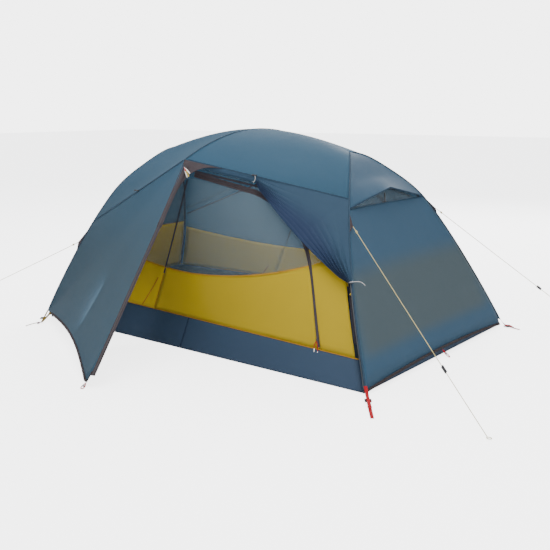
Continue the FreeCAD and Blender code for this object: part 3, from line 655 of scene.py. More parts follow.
def tape_finish(name, colour, ribs=0.0016, roughness=0.75):
    """Woven tape and webbing: ribs across its length, with painted shade in the grooves mixed with random
    mottling.
    """
    paint, nodes, links, shader = new_material(name)
    place = nodes.new("ShaderNodeTexCoord")
    split = nodes.new("ShaderNodeSeparateXYZ")
    links.new(place.outputs["UV"], split.inputs[0])
    beat = add_node(nodes, "ShaderNodeMath", operation="MULTIPLY")
    beat.inputs[1].default_value = 2 * math.pi / ribs
    links.new(split.outputs["Y"], beat.inputs[0])
    wave = add_node(nodes, "ShaderNodeMath", operation="SINE")
    links.new(beat.outputs[0], wave.inputs[0])
    wear = add_node(nodes, "ShaderNodeGroup", node_tree=WEAR)
    wear.inputs["Scale"].default_value = 25.0
    links.new(place.outputs["Object"], wear.inputs["Vector"])
    share = add_node(nodes, "ShaderNodeMapRange")
    share.inputs["From Min"].default_value = -1.0
    links.new(wave.outputs[0], share.inputs["Value"])
    total = add_node(nodes, "ShaderNodeMath", operation="MULTIPLY")
    links.new(share.outputs[0], total.inputs[0])
    links.new(wear.outputs["Mottle"], total.inputs[1])
    # Painted shade: darker in the rib grooves, mixed with random mottling.
    blend = add_node(nodes, "ShaderNodeMix", data_type="RGBA")
    blend.inputs["A"].default_value = (*[c * 0.7 for c in colour], 1)
    blend.inputs["B"].default_value = (*[min(c * 1.35 + 0.004, 1) for c in colour], 1)
    links.new(total.outputs[0], blend.inputs["Factor"])
    links.new(blend.outputs["Result"], shader.inputs["Base Color"])
    relief = add_node(nodes, "ShaderNodeBump")
    relief.inputs["Strength"].default_value = 0.5
    relief.inputs["Distance"].default_value = 0.0004
    links.new(wave.outputs[0], relief.inputs["Height"])
    links.new(relief.outputs["Normal"], shader.inputs["Normal"])
    shader.inputs["Roughness"].default_value = roughness
    shader.inputs["Specular IOR Level"].default_value = 0.2
    return paint


ZIP_TAPE = tape_finish("zip_tape", (0.058, 0.045, 0.050))
HEM_TAPE = tape_finish("hem_binding", (0.030, 0.022, 0.024))
ORANGE_TAPE = tape_finish("orange_binding", (0.46, 0.235, 0.010))
RED_WEB = tape_finish("red_webbing", (0.42, 0.003, 0.010), 0.002)
SEAM_TAPE = tape_finish("felled_seam", (0.018, 0.044, 0.074), 0.003)
# Dark seam tape; it also stands in for the back wall's orange binding, as painted shade.
DARK_SEAM_AND_SHADED_BINDING = tape_finish("dark_seam_and_shaded_binding", (0.045, 0.040, 0.050), 0.002)
NAVY_TAPE = tape_finish("navy_binding", (0.018, 0.035, 0.070), 0.002)


# ==== Bathtub floor ========================================================================
# Coated navy floor cloth in one tray: the ground sheet turns up into a low wall all round, sewn
# at its corners and once across each long wall, and bound at its rim where the inner walls start.
TUB_HEIGHT = {1: 0.122, -1: 0.172}               # rim at the head corners, at the foot corners
TUB_INSET, INNER_INSET = 0.030, 0.048


@functools.lru_cache(maxsize=None)
def leg_fraction(end, side, height, inset):
    low, high = 0.0, 1.0
    for _ in range(40):
        middle = (low + high) / 2
        if leg(end, side, middle, inset).z > height:
            low = middle
        else:
            high = middle
    return low


def tub_corner(end, side, k):
    half = (HEAD_WIDTH if end > 0 else FOOT_WIDTH) / 2
    foot = Vector((end * (LENGTH / 2 - TUB_INSET), side * (half - TUB_INSET), 0.0005))
    top = leg(end, side, leg_fraction(end, side, TUB_HEIGHT[end], INNER_INSET), INNER_INSET)
    return foot.lerp(top, k)


def tub_ring(k, count):
    ring = []
    corners = [tub_corner(e, s, k) for e, s in ((1, -1), (1, 1), (-1, 1), (-1, -1))]
    for a, b in zip(corners, corners[1:] + corners[:1]):
        ring += [a.lerp(b, j / count) for j in range(count)]
    return ring + [ring[0].copy()]


SIDE_STEPS = 48
tub_rows = [tub_ring(k, SIDE_STEPS) for k in steps(0.0, 1.0, 12)]


def tub_relief(i, j, point):
    corner_pull = abs(math.cos(math.pi * 4 * j)) ** 6
    wave = noise.noise(Vector((point.x * 3.0, point.y * 3.0, point.z * 9.0)))
    fold = noise.noise(Vector((point.x * 14.0, point.y * 14.0, point.z * 5.0)))
    sag = math.sin(math.pi * min(i, 1.0))
    return sag * (0.004 * wave + 0.0016 * fold + 0.003) * (1 - 0.5 * corner_pull)


tub_wall = cloth("tub_wall", tub_rows, TUB_CLOTH, tub_relief)


def tub_base_point(i, j):
    front = tub_corner(-1, -1, 0).lerp(tub_corner(1, -1, 0), j)
    return front.lerp(tub_corner(-1, 1, 0).lerp(tub_corner(1, 1, 0), j), i)


base_rows = [[tub_base_point(i / 30, j / 40) for j in range(41)] for i in range(31)]
tub_base = cloth("tub_base", base_rows, TUB_CLOTH,
                 lambda i, j, p: 0.0012 + 0.0012 * noise.noise(p * 6.0), inside=Vector((0, 0, -1)))
sewn_in(tub_wall, "tent", "tub_floor", slot="tub", hangs_from=("tub_base",))
sewn_in(tub_base, "tent", slot="tub", held="laid", hangs_from=())

rim_points = [p + Vector((0, 0, 0.001)) for p in tub_rows[-1]]
tub_rim = ribbon("tub_rim_binding", rim_points, lambda i, p: Vector((p.x * 0.6, p.y, 0)).normalized(),
                 0.005, 0.0012, ORANGE_TAPE, 0.001)
fasten(tub_rim, "yellow_wall")
TUB_SEAM = 1.03 / 2.12                           # the cross seam's place from foot end to head end
for side, name in ((-1, "front"), (1, "back")):
    seam_line = [tub_corner(-1, side, k).lerp(tub_corner(1, side, k), TUB_SEAM)
                 for k in steps(0.02, 0.98, 10)]
    seam = ribbon("tub_seam_%s" % name, seam_line, (0, side, 0.1), 0.007, 0.0008, NAVY_TAPE, 0.0045)
    fasten(seam, "tub")


# ==== Inner tent walls =====================================================================
# Breathable mustard ripstop low down and insect net above, sewn to the tub and clipped to the
# poles. Each long side has a D-shaped door, sewn on its foot-end edge and zipped round the rest.
def inner_wall(side, u, v):
    """u runs from the foot corner (-1) to the head corner (1), v from the tub's rim to the eave."""
    def leg_edge(end, k):
        low = leg_fraction(end, side, TUB_HEIGHT[end], INNER_INSET)
        s = low + (EAVE_FRACTION[end] - low) * k
        return leg(end, side, s, INNER_INSET) + Vector((0, 0, 0.002 * (1 - k)))

    top = eave(1 if u > 0 else -1, side, abs(u), INNER_INSET)
    w = (u + 1) / 2
    left_low, left_high = leg_edge(-1, 0), leg_edge(-1, 1)
    right_low, right_high = leg_edge(1, 0), leg_edge(1, 1)
    point = left_low.lerp(right_low, w).lerp(top, v)
    point += (leg_edge(-1, v) - left_low.lerp(left_high, v)) * (1 - w)
    return point + (leg_edge(1, v) - right_low.lerp(right_high, v)) * w


def door_hinge(v):
    return -0.29 + 0.27 * v


def door_zip(v):
    return 0.79 * (1 - min(v / 0.97, 1.0) ** 4.2) ** 0.35


DOOR_TOP, WALL_EDGE = 0.93, 0.985                # fractions of the wall: door's top, outer seams
YELLOW_LOW = {-1: 0.350, 1: 0.322}               # yellow cloth's lowest height on the front, on the back
YELLOW_RISE = {-1: 0.150, 1: 0.100}


def yellow_top(side, u):
    base, top = inner_wall(side, u, 0), inner_wall(side, u, 1)
    height = YELLOW_LOW[side] + YELLOW_RISE[side] * (base.x - 0.05) ** 2
    return (height - base.z) / (top.z - base.z)


def wall_rows(side, left, right, low, high, rows, columns):
    out = []
    for i in range(rows + 1):
        row = []
        for j in range(columns + 1):
            k = i / rows
            u = (left(k) + right(k)) / 2
            for _ in range(4):
                v = low(u) + (high(u) - low(u)) * k
                u = left(v) + (right(v) - left(v)) * j / columns
            row.append(inner_wall(side, u, low(u) + (high(u) - low(u)) * k))
        out.append(row)
    return out


def wall_relief(i, j, point):
    """Soft diagonal pulls between the corners and small puckers along sewn edges."""
    pull = noise.noise(Vector((point.x * 2.2 + point.z * 2.0, point.y * 2.0, point.z * 3.0)))
    pucker = noise.noise(Vector((point.x * 22.0, point.y * 5.0, point.z * 6.0)))
    edge = math.exp(-12 * i) + math.exp(-12 * (1 - i))
    return 0.004 * pull + 0.0012 * pucker * edge


def wall_edge_line(side, low, high, count, v=None):
    """A line across a wall: at one height v, or along the yellow cloth's top."""
    return [inner_wall(side, u, yellow_top(side, u) if v is None else v) for u in steps(low, high, count)]


for side, name in ((-1, "front"), (1, "back")):
    cut = {"hinge": door_hinge, "foot": lambda v: -WALL_EDGE, "head": lambda v: WALL_EDGE,
           "base": lambda u: 0.0, "yellow": lambda u, side=side: yellow_top(side, u),
           "door_top": lambda u: DOOR_TOP, "wall_top": lambda u: WALL_EDGE,
           "zip": lambda v: door_zip(min(v, DOOR_TOP))}
    body = "inner_door_%s" % name
    plans = (("wall_yellow_foot", "foot", "hinge", "base", "yellow", 12, 20, "tent", "inner_%s_lower"),
             ("wall_yellow_head", "zip", "head", "base", "yellow", 14, 14, "tent", None),
             ("wall_net_foot", "foot", "hinge", "yellow", "wall_top", 20, 20, "tent", "inner_%s_mesh"),
             ("wall_net_head", "zip", "head", "yellow", "wall_top", 40, 24, "tent", None),
             ("door_yellow", "hinge", "zip", "base", "yellow", 14, 40, body, "inner_door_lower_%s"),
             ("door_net", "hinge", "zip", "yellow", "door_top", 40, 40, body, "inner_door_mesh_%s"))
    for piece_name, left, right, low, high, rows, columns, on_body, node in plans:
        netting = high != "yellow"
        panel = wall_rows(side, cut[left], cut[right], cut[low], cut[high], rows, columns)
        piece = cloth("%s_%s" % (piece_name, name), panel, NET if netting else YELLOW_CLOTH, wall_relief)
        sewn_in(piece, on_body, *([node % name] if node else []),
                slot="mesh" if netting else "yellow_wall", hangs_from=("tub_wall",))

    def wall_out(i, p, side=side):
        return Vector((0.05 * p.x, side, 0.18)).normalized()

    # The back wall's binding is the same orange tape, drawn dark: painted shade for the backlit far wall.
    edge_tape = ORANGE_TAPE if side < 0 else DARK_SEAM_AND_SHADED_BINDING
    lines = (("yellow_binding_foot", wall_edge_line(side, -WALL_EDGE, -0.20, 14), 0.007, edge_tape, "tent"),
             ("yellow_binding_door", wall_edge_line(side, -0.185, 0.775, 30), 0.007, edge_tape, body),
             ("yellow_binding_head", wall_edge_line(side, 0.80, WALL_EDGE, 8), 0.007, edge_tape, "tent"),
             ("gusset_seam", [inner_wall(side, -0.385 + 0.52 * v, v) for v in steps(0.01, 0.235, 8)],
              0.008, ORANGE_TAPE, "tent"),
             ("hinge_seam_low", [inner_wall(side, door_hinge(v), v) for v in steps(0.01, 0.26, 8)],
              0.004, ORANGE_TAPE, "tent"),
             ("hinge_seam_high", [inner_wall(side, door_hinge(v), v) for v in steps(0.27, DOOR_TOP, 16)],
              0.009, DARK_SEAM_AND_SHADED_BINDING, "tent"),
             ("eave_seam_foot", wall_edge_line(side, -WALL_EDGE, -0.01, 20, WALL_EDGE),
              0.010, DARK_SEAM_AND_SHADED_BINDING, "tent"),
             ("eave_seam_head", wall_edge_line(side, 0.01, WALL_EDGE, 20, WALL_EDGE),
              0.010, DARK_SEAM_AND_SHADED_BINDING, "tent"))
    for line_name, points, width, material, on_body in lines:
        strip = ribbon("%s_%s" % (line_name, name), points, wall_out, width, 0.0010, material, 0.0012)
        fasten(strip, "yellow_wall" if material is ORANGE_TAPE else "zip_tape", body=on_body)


# ==== Inner end walls and roof net =========================================================
# The same two cloths close the ends between their leg poles, and one span of net makes the roof.
def end_rows(end, values, inset, sag, columns, trim=0.0):
    rows = []
    for s in values:
        a, b = leg(end, -1, s, inset), leg(end, 1, s, inset)
        trimmed = 1 - 2 * trim / (b - a).length if trim else 1.0
        row = []
        for j in range(columns + 1):
            t = 2 * j / columns - 1
            row.append(a.lerp(b, (1 + t * trimmed) / 2) - Vector((end * sag * (1 - t * t), 0, 0)))
        rows.append(row)
    return rows


def roof_point(end, side, a, b, inset=0.0):
    """a runs from the ridge to a leg, b from the spine to the eave."""
    flat = spine(end, 0, inset).lerp(spine(end, 1, inset), a).lerp(
        eave(end, side, 0, inset).lerp(eave(end, side, 1, inset), a), b)
    lengthways = spine(end, a, inset).lerp(eave(end, side, a, inset), b)
    crossways = ridge(side, b, inset).lerp(leg(end, side, b * EAVE_FRACTION[end], inset), a)
    return lengthways + crossways - flat


def roof_rows(inset, count, trim=0.0):
    rows = []
    for i in range(-count, count + 1):
        row = []
        for j in range(-count, count + 1):
            a, b = abs(j) / count * (1 - trim), abs(i) / count * (1 - trim)
            row.append(roof_point(1 if j > 0 else -1, 1 if i > 0 else -1, a, b, inset))
        rows.append(row)
    return rows


END_YELLOW = 0.47                                # height of the yellow cloth on an end wall
END_SAG, END_TRIM = 0.008, 0.012                 # how far an end wall hangs in, and stops short of a pole
for end, name in ((-1, "foot"), (1, "head")):
    rim = leg_fraction(end, 1, TUB_HEIGHT[end], INNER_INSET)
    split = leg_fraction(end, 1, END_YELLOW, INNER_INSET)
    low_rows = end_rows(end, steps(split, rim, 12), INNER_INSET, END_SAG, 30, END_TRIM)
    high_rows = end_rows(end, steps(0.06, split, 24), INNER_INSET, END_SAG, 30, END_TRIM)
    low = cloth("end_yellow_%s" % name, low_rows, YELLOW_CLOTH, wall_relief)
    high = cloth("end_net_%s" % name, high_rows, NET, wall_relief)
    sewn_in(low, "tent", *(["inner_end_lower"] if end > 0 else []), slot="yellow_wall",
            hangs_from=("tub_wall",))
    sewn_in(high, "tent", *(["inner_end_mesh"] if end > 0 else []), slot="mesh", hangs_from=("spine_tube",))
    band = ribbon("end_band_%s" % name, end_rows(end, [split], INNER_INSET, END_SAG, 24, END_TRIM)[0],
                  (end, 0, 0.3), 0.007, 0.001, ORANGE_TAPE, 0.0012)
    fasten(band, "yellow_wall")
roof_net = cloth("roof_net", roof_rows(INNER_INSET, 24, END_TRIM), NET)
sewn_in(roof_net, "tent", "inner_roof_mesh", slot="mesh")
for end in (-1, 1):
    for side in (-1, 1):
        low_end = leg_fraction(end, side, 0.18, INNER_INSET)
        points = [leg(end, side, s, INNER_INSET - 0.001) for s in steps(0.05, low_end, 30)]
        strip = ribbon("inner_leg_seam_%d_%d" % (end + 1, side + 1), points,
                       Vector((end * 0.7, side, 0.5)).normalized(), 0.010, 0.0012, DARK_SEAM_AND_SHADED_BINDING, 0.001)
        fasten(strip, "zip_tape")


# ==== Inner door zips ======================================================================
# Coil zips on dark tape sewn round each door, wider where it doubles over at the top, with a
# slider at the sill. Red cord pulls hang from each slider and end in white moulded tips.
def lay_along(name, points, spacing, size, material, lift=Vector((0, 0, 0)), width_scale=1.0):
    """Small blocks laid along a line by geometry nodes: zip teeth and stitches."""
    data = bpy.data.curves.new(name + "_line", "CURVE")
    data.dimensions = "3D"
    run = data.splines.new("POLY")
    run.points.add(len(points) - 1)
    for spot, point in zip(run.points, points):
        spot.co = (*(point + lift), 1)
    line = bpy.data.objects.new(name + "_line", data)
    bpy.context.collection.objects.link(line)
    tree = bpy.data.node_groups.new(name + "_layout", "GeometryNodeTree")
    tree.interface.new_socket(name="Geometry", in_out="INPUT", socket_type="NodeSocketGeometry")
    gap_in = tree.interface.new_socket(name="Spacing", in_out="INPUT", socket_type="NodeSocketFloat")
    size_in = tree.interface.new_socket(name="Block size", in_out="INPUT", socket_type="NodeSocketVector")
    tree.interface.new_socket(name="Geometry", in_out="OUTPUT", socket_type="NodeSocketGeometry")
    nodes, links = tree.nodes, tree.links
    inside, outside = nodes.new("NodeGroupInput"), nodes.new("NodeGroupOutput")
    places = nodes.new("GeometryNodeCurveToPoints")
    places.mode = "LENGTH"
    block = nodes.new("GeometryNodeMeshCube")
    copies = nodes.new("GeometryNodeInstanceOnPoints")
    real = nodes.new("GeometryNodeRealizeInstances")
    finish = nodes.new("GeometryNodeSetMaterial")
    finish.inputs["Material"].default_value = material
    links.new(inside.outputs["Geometry"], places.inputs["Curve"])
    links.new(inside.outputs["Spacing"], places.inputs["Length"])
    links.new(inside.outputs["Block size"], block.inputs["Size"])
    links.new(places.outputs["Points"], copies.inputs["Points"])
    links.new(places.outputs["Rotation"], copies.inputs["Rotation"])
    links.new(block.outputs["Mesh"], copies.inputs["Instance"])
    links.new(copies.outputs["Instances"], real.inputs["Geometry"])
    links.new(real.outputs["Geometry"], finish.inputs["Geometry"])
    links.new(finish.outputs["Geometry"], outside.inputs["Geometry"])
    laid = line.modifiers.new("layout", "NODES")
    laid.node_group = tree
    laid[gap_in.identifier] = spacing
    laid[size_in.identifier] = size
    bpy.context.view_layer.update()
    ready = line.evaluated_get(bpy.context.evaluated_depsgraph_get())
    mesh = bpy.data.meshes.new_from_object(ready)
    mesh.name = name
    if not mesh.materials:
        mesh.materials.append(material)
    piece = bpy.data.objects.new(name, mesh)
    bpy.context.collection.objects.link(piece)
    bpy.data.objects.remove(line)
    return piece


TEETH = hard_finish("nylon_coil", (0.030, 0.026, 0.028), 0.40, 0.0, 140.0)
SLIDER_METAL = hard_finish("painted_slider", (0.040, 0.040, 0.042), 0.35, 0.6, 120.0)
PULL_WHITE = hard_finish("pull_tip_white", (0.70, 0.68, 0.62), 0.45, 0.0, 120.0)
RED_CORD = tape_finish("red_cord", (0.50, 0.012, 0.018), 0.0012)
YELLOW_CORD = tape_finish("yellow_cord", (0.62, 0.44, 0.06), 0.0012)

for side, name in ((-1, "front"), (1, "back")):
    line = [inner_wall(side, door_zip(min(v, DOOR_TOP)), v) for v in steps(0.01, DOOR_TOP, 60)]
    last = line[-1]
    line += [last.lerp(inner_wall(side, 0.02, DOOR_TOP + 0.03), k) for k in steps(0.06, 1.0, 14)]

    def face_out(i, p, side=side):
        return Vector((0.10 + 0.15 * p.x, side, 0.22)).normalized()

    tape = ribbon("inner_zip_tape_%s" % name, line, face_out,
                  lambda k: 0.013 + 0.013 * min(max((k - 0.35) / 0.3, 0.0), 1.0), 0.0012, ZIP_TAPE, 0.0020)
    fasten(tape, "zip_tape", "inner_zip_%s" % name)
    teeth = lay_along("inner_zip_teeth_%s" % name, line, 0.0024, (0.0042, 0.0012, 0.0014), TEETH,
                      Vector((0, side * 0.0040, 0.0008)))
    fasten(teeth, "zip_tape")
    zip_foot = inner_wall(side, door_zip(0.05), 0.05)
    seat = zip_foot + Vector((0, side * 0.009, 0))
    run = (inner_wall(side, door_zip(0.30), 0.30) - zip_foot).normalized()
    body_line = [seat + run * k for k in (-0.007, -0.006, 0.003, 0.007)]
    slider = tube("inner_slider_body_%s" % name, body_line, [0.0034, 0.0050, 0.0046, 0.0024],
                  SLIDER_METAL, 12, 0.5, (0, side, 0.2))
    fasten(slider, "zip_metal", "inner_slider_%s" % name, body="inner_slider_%s" % name)
    for number, (drift, drop) in enumerate(((-0.010, 0.040), (0.008, 0.052))):
        start = seat + Vector((0, side * 0.003, -0.004))
        finish = seat + Vector((drift, side * 0.006, -drop))
        middle = start.lerp(finish, 0.5) + Vector((drift * 0.5, side * 0.003, 0))
        cord_line = rounded([start, middle, finish])
        pull = tube("inner_pull_cord_%s_%d" % (name, number), cord_line, 0.0016, RED_CORD, 8)
        tip_line = [finish + Vector((0, 0, 0.003)), finish, finish + Vector((drift * 0.1, 0, -0.014)),
                    finish + Vector((drift * 0.12, 0, -0.017))]
        tip = tube("inner_pull_tip_%s_%d" % (name, number), tip_line, [0.0018, 0.0030, 0.0028, 0.0014],
                   PULL_WHITE, 10)
        for thing in (pull, tip):
            fasten(thing, "zip_metal", body="inner_slider_%s" % name)


# ==== Flysheet roof and ends ===============================================================
# One big span of slate-blue ripstop over the poles between both eaves, sewn to an upper panel, a
# hooded vent and a lower panel at each end. Felled seams follow the poles; the hem is bound in brown.
def taut(i, j, point):
    """A panel between poles: drawn in a little in the middle, with puckers running off its edges."""
    hollow = 16 * i * (1 - i) * j * (1 - j)
    pucker = noise.noise(Vector((point.x * 16.0, point.y * 16.0, point.z * 5.0)))
    edge = math.exp(-14 * min(i, 1 - i, j, 1 - j))
    broad = noise.noise(point * 1.7)
    return -0.004 * hollow + 0.0012 * pucker * edge + 0.0035 * broad * hollow


def roof_relief(i, j, point):
    """Four quarters hang between the spine, the ridge pole, the legs and the eaves."""
    a, b = abs(2 * j - 1), abs(2 * i - 1)
    hollow = 16 * a * (1 - a) * b * (1 - b)
    pucker = noise.noise(Vector((point.x * 18.0, point.y * 6.0, point.z * 6.0))) * math.exp(-16 * (1 - b))
    ridge_pull = noise.noise(Vector((point.x * 5.0, point.y * 18.0, 3.0))) * math.exp(-14 * a)
    return -0.009 * hollow + 0.0012 * pucker + 0.0010 * ridge_pull


def smooth_rows(rows, passes):
    """Relaxes the inside of a grid, edges held, as tension does in cloth."""
    for _ in range(passes):
        old = [[p.copy() for p in row] for row in rows]
        for i in range(1, len(rows) - 1):
            for j in range(1, len(rows[0]) - 1):
                around = old[i - 1][j] + old[i + 1][j] + old[i][j - 1] + old[i][j + 1]
                rows[i][j] = old[i][j].lerp(around / 4, 0.6)
    return rows


roof = cloth("fly_roof_span", roof_rows(0.0, 40), FLY_CLOTH, roof_relief)
sewn_in(roof, "tent", "fly_roof", hangs_from=("spine_tube", "ridge_tube"))

VENT_HINGE, VENT_LIP = 0.30, 0.47                # places on the leg seams
VENT_OUT, VENT_UP = 0.041, 0.017                 # the hood's peak, off the end wall
HEM_HEIGHT, HEM_RISE = 0.014, 0.034
HEM_W, HEM_T = 0.013, 0.0014                     # hem binding


def end_hem(end, columns):
    a, b = leg(end, -1, LEG_END), leg(end, 1, LEG_END)
    hem = []
    for j in range(columns + 1):
        t = 2 * j / columns - 1
        point = a.lerp(b, (1 + t * 0.997) / 2)
        point.z = HEM_HEIGHT + 0.8 * HEM_RISE * (1 - t * t)
        hem.append(point)
    return hem


def hood_lip(end, t):
    side = -1 if t < 0 else 1
    foot = leg(end, side, VENT_LIP)
    high = leg(end, -1, VENT_HINGE + 0.10).lerp(leg(end, 1, VENT_HINGE + 0.10), 0.5)
    peak = high + Vector((end * VENT_OUT, 0, VENT_UP))
    return peak.lerp(foot, abs(t))


for end, name in ((-1, "left"), (1, "right")):
    rows = end_rows(end, steps(VENT_LIP, 0.955, 40), 0.0, 0.012, 40)
    lower = cloth("fly_end_wall_%s" % name, rows + [end_hem(end, 40)], FLY_END_CLOTH, taut)
    sewn_in(lower, "tent", "fly_end_lower_%s" % name)
    hem = ribbon("end_hem_%s" % name, end_hem(end, 40), (end, 0, 0.2), HEM_W, HEM_T, HEM_TAPE, 0.001)
    fasten(hem, "zip_tape")
    hood_rows = end_rows(end, steps(0.0, VENT_HINGE, 16), 0.0, 0.0, 30)
    for k in steps(0, 1, 14)[1:]:
        row = []
        for t in steps(-1, 1, 30):
            side = -1 if t < 0 else 1
            top = leg(end, -1, VENT_HINGE).lerp(leg(end, 1, VENT_HINGE), (1 + t) / 2)
            chord = leg(end, side, VENT_HINGE).lerp(leg(end, side, VENT_LIP), k)
            bulge = leg(end, side, VENT_HINGE + (VENT_LIP - VENT_HINGE) * k) - chord
            row.append(top.lerp(hood_lip(end, t), k) + bulge * abs(t))
        hood_rows.append(row)
    hood = cloth("vent_hood_cloth_%s" % name, smooth_rows(hood_rows, 10), FLY_END_CLOTH,
                 lambda i, j, p: 0.003 * math.sin(math.pi * i) * math.sin(math.pi * j))
    sewn_in(hood, "tent", "vent_hood_%s" % name, *(["fly_end_upper"] if end > 0 else []))
    lip = ribbon("vent_lip_binding_%s" % name, [hood_lip(end, t) for t in steps(-1, 1, 30)], (end, 0, 0.3),
                 0.006, 0.0012, SEAM_TAPE, 0.0006)
    fasten(lip, "fly")
    net_rows = end_rows(end, steps(VENT_HINGE + 0.02, VENT_LIP, 8), 0.010, 0.006, 16, 0.02)
    net = cloth("vent_net_%s" % name, net_rows, NET)
    sewn_in(net, "tent", *(["vent_mesh"] if end > 0 else []), slot="mesh")
refinish("vent_strut_left", MOULDED)
refinish("vent_strut_right", MOULDED)


# ==== Front door, foot side ================================================================
# The closed half of the front vestibule: cloth from the eave and the foot leg out to the peg and
# the zip. It folds back about a straight line from the ridge tip to the ground corner.
VESTIBULE, PEG_X, ZIP_X = 1.325, 0.055, 0.100
TAPE_W = 0.024
DOOR_HEM_RISE = 0.055                            # the hem is cut as an arch


def zip_line(side, k, shift=0.0):
    top = ridge(side, 1) + Vector((0.042, side * 0.026, -0.022))
    low = Vector((ZIP_X, side * (VESTIBULE - 0.012), HEM_HEIGHT + 0.038))
    return top.lerp(low, k) + Vector((shift, 0, 0))


def fold_line(end, side, q):
    return ridge(side, 1).lerp(leg(end, side, LEG_END), q)


def rim_line(end, side, q):
    seam = [eave(end, side, k) for k in steps(0, 1, 4)]
    seam += [leg(end, side, s) for s in steps(EAVE_FRACTION[end], LEG_END, 16)[1:]]
    return along(seam, q)


def door_edge(end, side, q, shift):
    chain = [ridge(side, 1) + Vector((shift * 0.3, 0, 0))]
    chain += [zip_line(side, k, shift) for k in (0.02, 0.5, 1.0)]
    if end < 0:
        chain.append(Vector((PEG_X, side * VESTIBULE, HEM_HEIGHT)))
    last, foot = leg(end, side, LEG_END), chain[-1]
    for k in steps(0, 1, 10)[1:]:
        point = foot.lerp(last, k)
        chain.append(point + (ridge(side, 1) - point).normalized() * (DOOR_HEM_RISE * 4 * k * (1 - k)))
    return along(chain, q)


def door_rows(end, side, shift, count, columns):
    """Each row bends smoothly from the sewn edge through the fold line to the free edge."""
    rows = []
    for i in range(count + 1):
        q = i / count
        a, m, b = rim_line(end, side, q), fold_line(end, side, q), door_edge(end, side, q, shift)
        near, far = (m - a).length, (b - m).length
        total = near + far
        share = min(max(near / total, 0.001), 0.999) if total > 1e-6 else 0.5
        row = []
        for j in range(columns + 1):
            t = j / columns
            row.append(a.lerp(m, t / share) if t < share else m.lerp(b, (t - share) / (1 - share)))
        rows.append(row)
    return rows


def flap_relief(i, j, point):
    hollow = math.sin(math.pi * min(max(i, 0), 1)) * math.sin(math.pi * j)
    pulls = noise.noise(Vector((point.x * 3.0 - point.z * 3.5, point.y * 2.0, 1.0)))
    pucker = noise.noise(Vector((point.x * 9.0, point.y * 20.0, point.z * 20.0))) * math.exp(-16 * (1 - j))
    return -0.010 * hollow + 0.004 * pulls * hollow + 0.0015 * pucker


def fold_blend(piece, end, side):
    """Bakes the piece's placement into its mesh. The fold line and the way away from it are worked out but
    not used.
    """
    a, b = fold_line(end, side, 0), fold_line(end, side, 1)
    free = Vector((PEG_X, side * VESTIBULE, HEM_HEIGHT))
    middle = a.lerp(b, 0.5)
    away = (free - middle) - (b - a) * ((free - middle).dot(b - a) / (b - a).length_squared)
    away.normalize()
    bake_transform(piece)


def door_panel(name, end, side, shift, body, *nodes):
    rows = smooth_rows(door_rows(end, side, shift, 48, 40), 14)
    piece = cloth(name, rows, FLY_CLOTH, flap_relief)
    fold_blend(piece, end, side)
    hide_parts(*nodes)
    wide, tall, area = piece["cut"]
    tall = min(tall, 2 * area / wide)
    return rows


front_rows = door_panel("front_left_door_cloth", -1, -1, -TAPE_W, "front_flap",
                        "fly_front_left_flap", "fly_front_left_panel")
hem_points = [row[-1] for row in front_rows]
zip_end = min(range(len(hem_points)), key=lambda i: (hem_points[i] - zip_line(-1, 1.0, -TAPE_W)).length)
front_hem = ribbon("front_left_hem", hem_points[zip_end:-2], (-0.4, -0.6, 0.5), HEM_W, HEM_T, HEM_TAPE, 0.001)
fasten(front_hem, "zip_tape", body="front_flap")


# ==== Front zip ============================================================================
# A wide storm zip with a coil down the middle of its dark tape, from a stitched gusset under the
# ridge tip to the peg. Its slider is parked at the top with cord pulls for each hand.
def zip_face(side):
    run = (zip_line(side, 1) - zip_line(side, 0)).normalized()
    face = run.cross(Vector((1, 0, 0)))
    return face if face.y * side > 0 else -face


def door_zipper(name, side, middle, body, node, slider_body, slider_node):
    points = [zip_line(side, k, middle) for k in steps(0.0, 1.0, 50)]
    tape = ribbon(name + "_tape_strip", points, tuple(zip_face(side)), TAPE_W, 0.0014, ZIP_TAPE, 0.0)
    fasten(tape, "zip_tape", node, body=body)
    teeth = lay_along(name + "_teeth", points, 0.0030, (0.0062, 0.0016, 0.0020), TEETH,
                      zip_face(side) * 0.0020)
    fasten(teeth, "zip_tape", body=body)
    run = (points[-1] - points[0]).normalized()
    seat = zip_line(side, 0.02, middle) + zip_face(side) * 0.005
    slider = tube(name + "_slider_body", [seat + run * k for k in (-0.009, -0.007, 0.004, 0.009)],
                  [0.0040, 0.0062, 0.0056, 0.0030], SLIDER_METAL, 12, 0.5, tuple(zip_face(side)))
    fasten(slider, "zip_metal", slider_node, body=slider_body)
    pulls = ((YELLOW_CORD, 0.040, 0.040), (RED_CORD, 0.026, 0.024), (PULL_WHITE, 0.046, 0.026),
             (PULL_WHITE, 0.030, 0.044))
    for number, (material, drift, drop) in enumerate(pulls):
        start = seat + zip_face(side) * 0.003
        finish = seat + Vector((drift, side * 0.014, -drop))
        bend = start.lerp(finish, 0.6) + Vector((0.004, side * 0.008, 0.006))
        pull = tube("%s_pull_%d" % (name, number), [start] + rounded([bend, bend.lerp(finish, 0.5), finish]),
                    [0.0008] + [0.0030] * 12, material, 8)
        fasten(pull, "zip_metal", body=slider_body)


door_zipper("front_zip", -1, -TAPE_W / 2, "front_flap", "front_zip_tape", "front_slider", "front_zip_slider")


GUSSET_FOOT = 0.32                               # how far down the zip the gusset tapers


